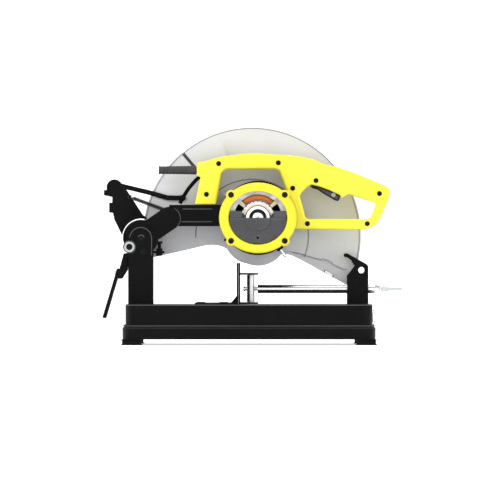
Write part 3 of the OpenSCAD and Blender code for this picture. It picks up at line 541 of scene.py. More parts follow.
def sweep(
    path: np.ndarray, section: np.ndarray, closed: bool = False, up: Sequence[float] = (0, 1, 0)
) -> np.ndarray:
    """Carries a section along a path.

    Each section point (a, b) lands at path + a * side + b * top. The side is the path's direction crossed
    with up, and the top is the side crossed with the direction.

    Args:
        path: n x 3 points in metres.
        section: m x 2 points, or n x m x 2 when the section changes on the way, in metres.
        closed: the path returns to its start.
        up: a direction that is never along the path.

    Returns:
        The n x m x 3 grid of points.
    """
    if closed:
        ahead = np.roll(path, -1, axis=0) - np.roll(path, 1, axis=0)
    else:
        ahead = np.gradient(path, axis=0)
    ahead /= np.linalg.norm(ahead, axis=1, keepdims=True)
    side = np.cross(ahead, np.asarray(up, dtype=float))
    side /= np.linalg.norm(side, axis=1, keepdims=True)
    top = np.cross(side, ahead)
    if section.ndim == 2:
        section = np.broadcast_to(section, (len(path), *section.shape))
    return path[:, None] + section[..., :1] * side[:, None] + section[..., 1:] * top[:, None]


def ring_section(a: float, b: float, count: int = 16, power: float = 1.0) -> np.ndarray:
    """Returns an oval (power 1) or a rounded box (power below 1) of half-widths a and b, in metres."""
    t = np.linspace(0, math.tau, count, endpoint=False)
    bend = lambda v: np.sign(v) * np.abs(v) ** power
    return np.stack([a * bend(np.cos(t)), b * bend(np.sin(t))], axis=1)


def turned(
    profile: Sequence[tuple[float, float]],
    at: Sequence[float],
    axis: str = "Y",
    count: int = 64,
    waves: Optional[Callable[[np.ndarray, np.ndarray], np.ndarray]] = None,
) -> np.ndarray:
    """Turns a closed profile about an axis: point (r, h) at angle t lands r out at angle t and h along.

    Args:
        profile: (radius, place along the axis) pairs in millimetres, going round the section.
        at: a point of the axis, in millimetres.
        axis: "X" or "Y".
        count: steps round the axis.
        waves: adds to the radius, in millimetres, from the angle and the radius arrays.

    Returns:
        The count x len(profile) x 3 grid, in metres.
    """
    r, h = np.asarray(profile, dtype=float).T
    t = np.linspace(0, math.tau, count, endpoint=False)[:, None]
    radius = np.broadcast_to(r, (count, len(r)))
    if waves:
        radius = radius + waves(t, radius)
    along = np.broadcast_to(h, radius.shape)
    u, v = radius * np.cos(t), radius * np.sin(t)
    order = (along, u, v) if axis == "X" else (u, along, v)
    return (np.stack(order, axis=-1) + np.asarray(at)) * MM


def merged(node: str) -> bmesh.types.BMesh:
    """Returns a CAD node's mesh with its doubled vertices merged."""
    tool = bmesh.new()
    tool.from_mesh(frame["nodes"][node].data)
    bmesh.ops.remove_doubles(tool, verts=tool.verts[:], dist=WELD)
    return tool


def outlines(node: str, y: float, least: float = 12.0) -> list[np.ndarray]:
    """Finds the closed outlines of a CAD node's flat side.

    Args:
        node: the CAD node.
        y: the side's depth in millimetres.
        least: outlines whose box is smaller than this, such as screw holes, are left out.

    Returns:
        One n x 2 array of X and Z in millimetres for each outline, walked with the material on the left. The
        walk follows the mesh's own order, so that it's the same in every run.
    """
    tool = merged(node)
    side = [f for f in tool.faces if all(abs(v.co.y / MM - y) < 0.02 for v in f.verts)]
    members = set(side)
    facing = sum(f.normal.y * f.calc_area() for f in side)
    step = {}
    for face in side:
        for loop in face.loops:
            if sum(f in members for f in loop.edge.link_faces) == 1:
                step[loop.vert] = loop.link_loop_next.vert
    found = []
    while step:
        start, here = step.popitem()
        ring = [start.co.xz]
        while here in step:
            ring.append(here.co.xz)
            here = step.pop(here)
        ring = np.array([tuple(p) for p in ring]) / MM
        if np.ptp(ring, axis=0).max() > least:
            found.append(ring[::-1] if facing > 0 else ring)
    tool.free()
    return found


def relax(ring: np.ndarray, times: int) -> np.ndarray:
    """Averages every row of a closed ring with its two neighbours, the given number of times."""
    for _ in range(times):
        ring = (np.roll(ring, 1, axis=0) + 2 * ring + np.roll(ring, -1, axis=0)) / 4
    return ring


def even(ring: np.ndarray, gap: float = 2.2, soft: int = 2) -> np.ndarray:
    """Spaces an outline's points evenly and then softens its corners by averaging neighbours.

    Args:
        ring: n x 2 points.
        gap: the new spacing.
        soft: how many times each point is averaged with its two neighbours.

    Returns:
        The new outline.
    """
    loop = np.vstack([ring, ring[:1]])
    run = np.concatenate([[0], np.cumsum(np.linalg.norm(np.diff(loop, axis=0), axis=1))])
    at = np.linspace(0, run[-1], int(run[-1] / gap), endpoint=False)
    out = np.stack([np.interp(at, run, loop[:, 0]), np.interp(at, run, loop[:, 1])], axis=1)
    return relax(out, soft)


def inset(ring: np.ndarray, deep: np.ndarray) -> np.ndarray:
    """Moves an outline into its material by each given depth, along the softened mitre of its corners.

    Args:
        ring: n x 2 outline.
        deep: k depths.

    Returns:
        n x k x 2 points.
    """
    ahead = np.roll(ring, -1, axis=0) - ring
    ahead /= np.linalg.norm(ahead, axis=1, keepdims=True)
    normal = np.stack([-ahead[:, 1], ahead[:, 0]], axis=1)
    mitre = normal + np.roll(normal, 1, axis=0)
    mitre = relax(mitre, 4)
    mitre /= np.linalg.norm(mitre, axis=1, keepdims=True)
    stretch = 1 / np.clip((mitre * normal).sum(axis=1, keepdims=True), 0.75, 1)
    return ring[:, None] + (mitre * stretch)[:, None] * np.asarray(deep)[None, :, None]


def fill(tool: bmesh.types.BMesh, loops: Sequence[Sequence[bmesh.types.BMVert]]) -> None:
    """Fills the flat region between closed loops with triangles, leaving the loops inside it open.

    A triangle is kept when a line from its middle crosses the loops an odd number of times.

    Args:
        tool: the mesh that the loops belong to.
        loops: each loop's vertices in order, all at one depth.
    """
    flat = [v for loop in loops for v in loop]
    edges, first = [], 0
    for loop in loops:
        edges += [(first + k, first + (k + 1) % len(loop)) for k in range(len(loop))]
        first += len(loop)
    points, _, faces, origin, _, _ = delaunay_2d_cdt([v.co.xz for v in flat], edges, [], 0, 1e-8)
    corners = [
        flat[old[0]] if old else tool.verts.new((spot.x, flat[0].co.y, spot.y))
        for spot, old in zip(points, origin)
    ]
    place = np.array([tuple(p) for p in points])
    start = np.array([tuple(v.co.xz) for v in flat])
    end = start[[k for _, k in edges]]
    middle = place[np.array(faces)].mean(axis=1)[:, None]
    level = (start[:, 1] > middle[..., 1]) != (end[:, 1] > middle[..., 1])
    rise = np.where(end[:, 1] == start[:, 1], 1.0, end[:, 1] - start[:, 1])
    reach = start[:, 0] + (end[:, 0] - start[:, 0]) * (middle[..., 1] - start[:, 1]) / rise
    within = (level & (middle[..., 0] < reach)).sum(axis=1) % 2 == 1
    for face, kept in zip(faces, within):
        if kept:
            tool.faces.new([corners[k] for k in face])


def rounded_plate(
    name: str, rings: Sequence[np.ndarray], y_round: float, y_flat: float, radius: float
) -> bpy.types.Object:
    """Makes a thick plate with a large quarter-round edge on one side and a hairline on the other.

    The edge's profile is carried round every outline: at angle a it is radius * (1 - cos a) in from the
    outline and radius * (1 - sin a) back from the side, and the two sides are filled between the outlines.

    Args:
        name: the piece's name.
        rings: the outlines in millimetres.
        y_round: the depth of the side with the large round.
        y_flat: the depth of the other side.
        radius: the round's radius.

    Returns:
        The plate.
    """
    a = np.linspace(math.pi / 2, 0, 7)
    way = math.copysign(1, y_flat - y_round)
    deep = np.concatenate([radius * (1 - np.cos(a)), [0.0, HAIRLINE]])
    y = np.concatenate([y_round + way * radius * (1 - np.sin(a)), [y_flat - way * HAIRLINE, y_flat]])
    tool = bmesh.new()
    sides: tuple[list, list] = ([], [])
    for ring in rings:
        points = at_depth(inset(ring, deep if np.ptp(ring, axis=0).max() > WINDOW else deep * 0), y)
        rows, cols = points.shape[:2]
        verts = [tool.verts.new(p) for p in points.reshape(-1, 3)]
        for quad in grid_faces(rows, cols, True, False):
            tool.faces.new([verts[k] for k in quad])
        sides[0].append(verts[::cols])
        sides[1].append(verts[cols - 1::cols])
    for side in sides:
        fill(tool, side)
    bmesh.ops.recalc_face_normals(tool, faces=tool.faces[:])
    mesh = bpy.data.meshes.new(name)
    tool.to_mesh(mesh)
    tool.free()
    return add_object(name, mesh, 28)


def soften(node: str, width: float, finish: Finish) -> bpy.types.Object:
    """Rounds the edges of a CAD node's shape: a merged copy with its creases bevelled.

    Args:
        node: the CAD node.
        width: the edge's rounding in millimetres.
        finish: the piece's finish.

    Returns:
        The new piece, which replaces the node.
    """
    tool = merged(node)
    bmesh.ops.dissolve_limit(
        tool, angle_limit=math.radians(0.6), verts=tool.verts[:], edges=tool.edges[:], delimit=set()
    )
    bmesh.ops.triangulate(tool, faces=[f for f in tool.faces if len(f.verts) > 4])
    weight = tool.edges.layers.float.new("bevel_weight_edge")
    for edge in tool.edges:
        crease = edge.is_manifold and edge.calc_face_angle(0.0) > math.radians(CREASE)
        edge[weight] = 1.0 if crease else 0.0
    mesh = bpy.data.meshes.new(node + "_soft")
    tool.to_mesh(mesh)
    tool.free()
    obj = add_object(node + "_soft", mesh)
    bevel = obj.modifiers.new("round", "BEVEL")
    bevel.limit_method = "WEIGHT"
    bevel.width = width * MM
    bevel.segments = 3
    bevel.harden_normals = True
    bevel.use_clamp_overlap = True
    bevel.miter_outer = "MITER_ARC"
    return settle(obj, finish, NODE_BODY[node], NODE_SLOT[node], node)


RECORD = frame["record"]
NODE_BODY: dict[str, str] = {n: b for b, names in RECORD["behaviour"]["bodies"].items() for n in names}
NODE_SLOT: dict[str, Slot] = {s["node"]: Slot(s["material_slot"]) for s in RECORD["subparts"]}
JOINT_AT: dict[str, np.ndarray] = {
    j["name"]: np.array(j.get("pos_m", (0, 0, 0))) / MM for j in RECORD["behaviour"]["joints"]
}
MOTOR = JOINT_AT["armature_spin"]
SPINDLE = JOINT_AT["spindle_spin"]


# ------------------------------------------------------------------ sub-assemblies


@dataclass
class Frame:
    """The carried-over nodes: every one gets its finish, and the ones with soft edges are rounded."""

    rounded: tuple[tuple[str, float], ...] = (
        ("base_pan", 1.1), ("rear_post", 0.9), ("front_bracket", 0.9), ("fence", 0.6), ("vise_jaw", 0.6),
        ("link_bracket", 0.5), ("arm_casting", 1.6), ("gear_case", 1.2), ("fixed_guard", 0.7),
        ("moving_guard", 0.6), ("guard_link", 0.5), ("flap_holder", 0.5), ("spark_flap", 0.8),
        ("rubber_feet", 0.5), ("trigger", 1.2), ("lock_button", 0.6), ("vise_nut", 1.0), ("guard_bands", 0.3),
        ("end_plate", 0.4), ("base_bolts", 0.4), ("depth_stop", 0.4), ("lock_pin", 0.5), ("stop_screw", 0.4),
        ("end_ring_screws", 0.35), ("handle_screws", 0.3), ("vise_barrel", 0.6), ("brush_holders", 0.4),
        ("stator_core", 0.25), ("motor_housing", 1.2), ("bearing_bridge", 0.5), ("vise_crank", 0.5),
    )

    def build(self) -> None:
        """Dresses every node and rounds the listed ones."""
        finishes = {node: NODE_FINISH.get(node, FINISHES[NODE_SLOT[node]]) for node in frame["nodes"]}
        for node, obj in frame["nodes"].items():
            obj.data.materials.clear()
            obj.data.materials.append(finishes[node].build())
        for node, width in self.rounded:
            soften(node, width, finishes[node])
        self.pin_face()

    def pin_face(self) -> None:
        """Turns the lock pin's dark collar and the small dark screw in its ring."""
        low, high = (np.array(c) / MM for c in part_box("lock_pin"))
        at = ((low[0] + high[0]) / 2, low[1], (low[2] + high[2]) / 2)
        collar = [(9.5, 2.3), (11.0, 2.3), (11.3, 2.7), (11.3, 4.4), (9.5, 4.4)]
        screw = [(0.02, 1.1), (1.6, 0.9), (3.6, 0.8), (4.6, 1.4), (5.7, 1.9), (0.02, 1.95)]
        for name, shape in (("pin_collar", collar), ("pin_screw", screw)):
            settle(surface(name, [turned(shape, at, count=48)], True), FINISHES[Slot.BLACK_STEEL], "lock_pin",
                   Slot.BLACK_STEEL)


@dataclass
class Handle:
    """The two shells of the closed handle, with their ribs."""

    edge: float = 4.2
    half: float = 18.0
    seam_y: float = -41.0
    rib_r: float = 1.1
    grip_from: tuple[float, float] = (210.6, 259.0)
    grip_to: tuple[float, float] = (181.0, 269.2)
    grip_ribs: int = 11
    rib_half: float = 14.5
    trigger_y: float = -47.0

    def build(self) -> None:
        """Makes both rounded shells and adds the ribs."""
        for node, sign in (("handle_left", -1), ("handle_right", 1)):
            face = self.seam_y + sign * self.half
            rings = outlines(node, face, SCREW_HOLE)
            rings = [even(ring) if np.ptp(ring, axis=0).max() > WINDOW else ring for ring in rings]
            shell = rounded_plate(node + "_shell", rings, face, self.seam_y, self.edge)
            settle(shell, FINISHES[Slot.YELLOW], "arm", Slot.YELLOW, node)
        self.ribs()
        self.panel_lines()
        self.trigger_rim()

    def trigger_rim(self) -> bpy.types.Object:
        """Lays the black rim round the trigger's flat side."""
        flat = inset(even(outlines("trigger", self.trigger_y)[0], 1.4), np.array([1.5]))[:, 0]
        rim = sweep(at_depth(flat, self.trigger_y), ring_section(1.1 * MM, 0.35 * MM, 8), True)
        made = surface("trigger_rim", [rim], True)
        return settle(made, FINISHES[Slot.BLACK_STEEL], "trigger", Slot.BLACK_STEEL)

    def panel_lines(self) -> bpy.types.Object:
        """Lays the raised line round the grip window and the shell's body, set in from each outline."""
        face = self.seam_y - self.half
        beads = []
        for ring in outlines("handle_left", face):
            flat = inset(even(ring, soft=4), np.array([self.edge + 0.6]))[:, 0]
            beads.append(sweep(at_depth(flat, face - 0.02), ring_section(0.42 * MM, 0.3 * MM, 8), True))
        return settle(surface("shell_lines", beads, True), FINISHES[Slot.YELLOW], "arm", Slot.YELLOW)

    def ribs(self) -> bpy.types.Object:
        """Adds half-round ribs across the grip's upper inner edge: bars across the saw, evenly spaced."""
        start, end = np.array(self.grip_from), np.array(self.grip_to)
        bars = []
        for step in np.linspace(0, 1, self.grip_ribs):
            x, z = start + (end - start) * step
            y = np.linspace(-self.rib_half, self.rib_half, 9)
            swell = np.sqrt(np.clip(1 - (y / (self.rib_half + 0.1)) ** 6, 0.01, 1))
            section = ring_section(self.rib_r * MM, self.rib_r * MM, 10)[None] * swell[:, None, None]
            path = at_depth(np.tile((x, z), (9, 1)), y + self.seam_y)
            bars.append(sweep(path, section, up=(0, 0, 1)))
        return settle(surface("grip_ribs", bars), FINISHES[Slot.YELLOW], "arm", Slot.YELLOW)


@dataclass
class MotorEnd:
    """What shows in the open end of the motor: rolled ring, windings, commutator and plate ribs."""

    outer: tuple[float, float] = (69.1, 63.0)
    opening: tuple[float, float] = (52.2, 47.5)
    front: float = -166.0
    back: float = -150.0
    ears: tuple[float, float, float] = (47.8, 41.0, 8.8)
    segments: int = 24
    coil_r: float = 36.8
    coil_y: float = -102.0
    plate_y: float = -160.5
    shield_y: float = -162.2

    def build(self) -> None:
        """Makes every piece of the motor's end."""
        self.ring()
        self.windings()
        self.turned_parts()
        self.lower_shield()
        self.brush_covers()
        self.plate_ribs()
        self.board_tabs()

    def oval(self, t: np.ndarray, rx: float, rz: float) -> np.ndarray:
        """Returns an oval's radius at angle t."""
        return 1 / np.sqrt((np.cos(t) / rx) ** 2 + (np.sin(t) / rz) ** 2)

    def ring(self) -> bpy.types.Object:
        """Makes the rolled oval ring in a darker yellow, as painted shade.

        Its section is a rounded box between the opening and the rim. The rim's radius is the larger of the
        oval's and of each ear's circle seen from the centre, and the section is flatter near the ears.
        """
        t = np.linspace(0, math.tau, 320, endpoint=False)
        ear_x, ear_z, ear_r = self.ears
        far, lean = math.hypot(ear_x, ear_z), math.atan2(ear_z, ear_x)
        turns = (lean, math.pi - lean, math.pi + lean, -lean)
        rim = self.oval(t, *self.outer)
        for turn in turns:
            off = np.angle(np.exp(1j * (t - turn)))
            room = ear_r**2 - (far * np.sin(off)) ** 2
            ear = far * np.cos(off) + np.sqrt(np.clip(room, 0, None))
            rim = np.maximum(rim, np.where((room > 0) & (np.cos(off) > 0), ear, 0))
        inner = self.oval(t, *self.opening)
        off = np.abs([np.angle(np.exp(1j * (t - turn))) for turn in turns]).min(axis=0)
        pad = np.clip(1 - off / 0.16, 0, 1)[:, None] * 0.85
        shape = np.array([
            (0.00, 0.50), (0.00, 0.22), (0.02, 0.12), (0.07, 0.06), (0.16, 0.03), (0.26, 0.005), (0.40, 0.0),
            (0.52, 0.012), (0.64, 0.05), (0.76, 0.12), (0.86, 0.22), (0.94, 0.35), (0.985, 0.5), (1.0, 0.66),
            (1.0, 1.0), (0.6, 1.0), (0.3, 1.0), (0.05, 1.0), (0.04, 0.75), (0.04, 0.52),
        ])
        across, deep = shape.T
        radius = inner[:, None] + (rim - inner)[:, None] * across
        flat = np.where(across < 0.93, 0.11, deep)
        deep = deep * (1 - pad) + flat * pad
        points = about(MOTOR, radius, t[:, None], self.front + (self.back - self.front) * deep)
        made = surface("rolled_ring", [points], close_rows=True, angle=50)
        # the ring gets the darker yellow of painted shade
        return settle(made, SHADED_YELLOW, "arm", Slot.YELLOW, "end_ring")

    def windings(self) -> bpy.types.Object:
        """Makes the two saddle-shaped field windings.

        Each runs round a rounded rectangle laid on a cylinder about the motor's axis: the angle and the depth
        are powers of a cosine and a sine.
        """
        t = np.linspace(0, math.tau, 200, endpoint=False)
        bend = lambda v, p: np.sign(v) * np.abs(v) ** p
        loops = []
        for middle in (90.0, 270.0):
            angle = np.radians(middle + 47.5 * bend(np.cos(t), 0.45))
            y = self.coil_y + 30.2 * bend(np.sin(t), 0.32)
            path = about(MOTOR, self.coil_r, angle, y)
            out = np.stack([np.cos(angle), np.zeros_like(angle), np.sin(angle)], axis=1)[:, None]
            ahead = np.roll(path, -1, axis=0) - np.roll(path, 1, axis=0)
            ahead /= np.linalg.norm(ahead, axis=1, keepdims=True)
            side = np.cross(ahead, out[:, 0])[:, None]
            on_end = np.clip((np.abs(y - self.coil_y) - 20) / 8, 0, 1)
            wide = (3.4 + 2.6 * on_end)[:, None, None]
            ring = ring_section(1.0, 1.0, 28, 0.75)[None]
            loops.append(path[:, None] + ring[..., :1] * out * 4.9 * MM + ring[..., 1:] * side * wide * MM)
        made = surface("field_windings", loops, close_rows=True, angle=60)
        return settle(made, ENAMEL, "arm", Slot.COPPER, "field_coils")

    def slots(self, least: float, deep: float, sharp: int) -> Callable[[np.ndarray, np.ndarray], np.ndarray]:
        """Returns what turned() adds to radii above least: narrow slots where the bar's cosine peaks."""
        return lambda t, r: np.where(
            r > least, -deep * np.clip(np.cos(t * self.segments) * sharp - (sharp - 1), 0, 1), 0.0
        )

    def turned_parts(self) -> None:
        """Turns the slotted commutator and its pale riser ring, and the bearing's cap and its seat."""
        bars = [(7.0, -148.2), (13.5, -148.4), (14.5, -147.6), (21.2, -148.2), (22.0, -147.4), (22.0, -134.2),
                (21.0, -134.0), (7.0, -134.0)]
        riser = [(22.3, -138.0), (23.2, -138.2), (29.4, -137.6), (30.4, -136.8), (30.4, -134.4),
                 (28.0, -133.6), (22.3, -133.6)]
        cap = [(0.02, -160.0), (1.6, -160.6), (2.4, -161.3), (8.2, -161.3), (9.4, -160.9), (9.9, -160.0),
               (9.9, -159.1), (0.02, -159.1)]
        seat = [(15.6, -159.1), (16.2, -159.7), (20.4, -159.7), (21.0, -159.1), (21.0, -158.9),
                (15.6, -158.9)]
        rows = (
            ("bar_commutator", bars, self.slots(15, 1.0, 8), FINISHES[Slot.COPPER], "armature", Slot.COPPER),
            ("wire_risers", riser, self.slots(25, 2.6, 5), PALE_BAR, "armature", Slot.LAMINATION),
            ("bearing_cap", cap, None, FINISHES[Slot.BRIGHT], "armature", Slot.BRIGHT),
            ("bearing_seat", seat, None, PALE_BAR, "arm", Slot.BRIGHT),
        )
        for name, profile, waves, finish, body, slot in rows:
            points = turned(profile, (MOTOR[0], 0, MOTOR[2]), count=384 if waves else 64, waves=waves)
            nodes = ("commutator",) if name == "bar_commutator" else ()
            settle(surface(name, [points], True), finish, body, slot, *nodes)

    def lower_shield(self) -> bpy.types.Object:
        """Lays the half-round shield over the lower half of the bearing's seat."""
        path = about(MOTOR, 11.4, np.linspace(math.pi, math.tau, 49), self.shield_y)
        points = sweep(path, ring_section(11.1 * MM, 0.5 * MM, 16, 0.5))
        return settle(surface("lower_shield", [points]), FINISHES[Slot.GREY], "arm", Slot.GREY)

    def brush_covers(self) -> bpy.types.Object:
        """Lays the two box covers over the brushes; their inner ends lean away from the commutator."""
        bars = []
        for ends in ((-34.6, -12.6), (44.2, 66.2)):
            line = np.column_stack([np.linspace(*ends, 12), np.full(12, MOTOR[2] + 6.6)])
            section = ring_section(1.3 * MM, 5.7 * MM, 20, 0.35)
            bars.append(sweep(at_depth(line, -159.6), section, up=(0, 0, 1)))
        return settle(surface("brush_covers", bars), FINISHES[Slot.GREY], "arm", Slot.GREY)

    def plate_ribs(self) -> bpy.types.Object:
        """Lays fine level ribs over the end plate; each is as long as the oval is wide at its height.

        A rib stops at the bearing's hole and at the small hole below it, and goes on over the lower shield.
        """
        bearing_r, hole_r, hole_drop, least = 22.0, 6.0, 35.5, 4.0
        bars = []
        for drop in np.arange(4.6, 44.0, 2.35):
            half = (self.opening[0] - 3.0) * math.sqrt(max(0.02, 1 - (drop / (self.opening[1] - 2.6)) ** 2))
            if half < least:
                continue
            beside_bearing = drop < bearing_r - 0.5
            inner = 0.0
            if beside_bearing:
                inner = math.sqrt(bearing_r**2 - drop**2)
            elif abs(drop - hole_drop) < hole_r:
                inner = math.sqrt(hole_r**2 - (drop - hole_drop) ** 2)
            spans = [(-half, half, self.plate_y)]
            if inner > 1:
                spans = [(-half, -inner, self.plate_y), (inner, half, self.plate_y)]
            if beside_bearing:
                spans.append((0.4 - inner, inner - 0.4, self.shield_y - 0.5))
            for low, high, y in spans:
                x = np.linspace(low, high, 12)
                off = (x - (low + high) / 2) / ((high - low) / 2 + 0.05)
                end = np.sqrt(np.clip(1 - off**10, 0.02, 1))
                path = at_depth(np.column_stack([MOTOR[0] + x, np.full(12, MOTOR[2] - drop)]), y)
                section = ring_section(0.55 * MM, 0.6 * MM, 8)[None] * end[:, None, None]
                bars.append(sweep(path, section, up=(0, 0, 1)))
        return settle(surface("plate_ribs", bars), FINISHES[Slot.GREY], "arm", Slot.GREY)

    def board_tabs(self) -> bpy.types.Object:
        """Adds the cream insulation tabs at both ends of the upper winding: strips bent along its end."""
        strips = []
        for low, high in ((36.0, 46.0), (134.0, 144.0)):
            path = about(MOTOR, self.coil_r, np.radians(np.linspace(low, high, 14)), -138.6)
            strips.append(sweep(path, ring_section(6.2 * MM, 0.7 * MM, 16, 0.5)))
        return settle(surface("board_tabs", strips), CREAM, "arm", Slot.HOLDER)


@dataclass
class LiftSpring:
    """The coil spring between the link bracket and the arm."""

    rear: tuple[float, float, float] = (-214.2, -14.7, 265.1)
    fore: tuple[float, float, float] = (-142.2, -14.7, 238.0)
    coil_r: float = 3.15
    wire_r: float = 0.92
    hook_r: float = 3.0
    turns: int = 24

    def build(self) -> bpy.types.Object:
        """Winds the spring: the radius turns about the line between its ends, with a hook at both.

        Returns:
            The coil.
        """
        rear, fore = np.array(self.rear), np.array(self.fore)
        line = (fore - rear) / np.linalg.norm(fore - rear)
        side = np.cross(line, (0, 1, 0))
        t = np.linspace(0, 1, self.turns * 14 + 1)
        reach = 0.06 + 0.88 * t
        angle = t * self.turns * math.tau
        middle = rear + (fore - rear) * reach[:, None]
        swell = self.coil_r * np.clip(np.minimum(t, 1 - t) * 60, 0.35, 1)[:, None]
        out = np.cos(angle)[:, None] * side + np.sin(angle)[:, None] * np.array([0, 1.0, 0])
        path = middle + swell * out
        wire = ring_section(self.wire_r * MM, self.wire_r * MM, 8)
        coil = sweep(path * MM, wire, up=tuple(line))
        hooks = []
        for eye, way in ((rear, line), (fore, -line)):
            a = np.linspace(0.5, math.tau - 0.5, 28)[:, None]
            loop = eye + self.hook_r * (np.cos(a) * way + np.sin(a) * side)
            hooks.append(sweep(loop * MM, wire))
        made = surface("lift_coil", [coil] + hooks, angle=60)
        settle(made, SPRING_STEEL, "base", Slot.BLACK_STEEL, "lift_spring")
        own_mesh(made)
        return made


@dataclass
class Guards:
    """Edge beads in painted shade, the rear seam and small fittings of the guards."""

    rim: float = 193.1
    step: float = 101.0

    def arc(self, name: str, r: float, low: float, high: float, y: float, a: float, b: float) -> None:
        """Lays a rounded bead of painted shade along a circle about the spindle.

        Args:
            name: the piece's name.
            r: the circle's radius in millimetres.
            low: the first angle in degrees.
            high: the last angle in degrees.
            y: the bead's depth in millimetres.
            a: half its width along the radius.
            b: half its thickness across the saw.
        """
        t = np.radians(np.linspace(low, high, int((high - low) * 1.5)))
        bead = sweep(about(SPINDLE, r, t, y), ring_section(a * MM, b * MM, 12, 0.8))
        settle(surface(name, [bead]), SHADED_ALLOY, "arm", Slot.ALLOY)

    def build(self) -> None:
        """Makes the beads and the fittings."""
        self.arc("rim_bead", self.rim, -27.0, 188.0, 0.0, 0.9, 0.7)
        self.arc("rim_bead_far", self.rim, -27.0, 188.0, 52.0, 0.9, 0.7)
        self.arc("step_bead", self.step, -22.0, 182.0, -0.6, 1.7, 1.0)
        self.lower_lines()
        self.seam()
        self.plugs()

    def lower_lines(self) -> None:
        """Lays the ridge along the lower edge with its small raised tab, in painted shade, and the clip with
        its dark ends.
        """
        ridge = np.array([(78.0, 165.6), (92.0, 163.4), (106.0, 158.6), (120.0, 154.6), (131.0, 152.4),
                          (133.0, 154.6), (150.0, 147.6), (149.0, 144.8), (160.0, 139.6), (176.0, 134.0)])
        x = np.linspace(ridge[0, 0], ridge[-1, 0], 90)
        line = at_depth(np.column_stack([x, np.interp(x, *ridge.T)]), -0.05)
        settle(surface("lower_ridge", [sweep(line, ring_section(0.65 * MM, 0.5 * MM, 10))]), SHADED_ALLOY, "arm",
               Slot.ALLOY)
        clip = np.linspace((136.0, 131.6), (151.0, 122.6), 16)
        for name, part, wide, finish, slot in (
            ("clip_leaf", clip[1:-1], 2.0, PALE_BAR, Slot.BRIGHT),
            ("clip_head", clip[:2] - (0.6, -0.4), 2.9, FINISHES[Slot.BLACK_STEEL], Slot.BLACK_STEEL),
            ("clip_foot", clip[-2:] + (0.6, -0.4), 2.9, FINISHES[Slot.BLACK_STEEL], Slot.BLACK_STEEL),
        ):
            bead = sweep(at_depth(part, -0.9), ring_section(wide * MM, 0.5 * MM, 12, 0.5))
            settle(surface(name, [bead]), finish, NODE_BODY["guard_clip"], slot)

    def seam(self) -> bpy.types.Object:
        """Lays the dark radial joint strip of the guard's rear plate from near the rim inwards."""
        path = about(SPINDLE, np.linspace(192.5, 150.0, 24), math.radians(130), -0.1)
        strip = sweep(path, ring_section(2.8 * MM, 0.55 * MM, 12, 0.5))
        return settle(surface("seam_strip", [strip]), SEAM_PAINT, "arm", Slot.BASE)

    def plugs(self) -> None:
        """Turns the small pale plug and the dark screw on the guard's face."""
        pale = [(0.02, -0.9), (1.8, -0.8), (2.6, -0.3), (2.7, 0.3), (0.02, 0.3)]
        dark = [(0.02, -1.1), (1.0, -1.1), (1.9, -0.8), (2.3, -0.2), (2.3, 0.3), (0.02, 0.3)]
        for name, profile, z, finish, slot in (
            ("pale_plug", pale, 268.6, DOT_WHITE, Slot.ALLOY),
            ("dark_screw", dark, 187.9, FINISHES[Slot.BLACK_STEEL], Slot.BLACK_STEEL),
        ):
            points = turned(profile, (-43.0, -1.5, z), count=32)
            settle(surface(name, [points], True), finish, "arm", slot)


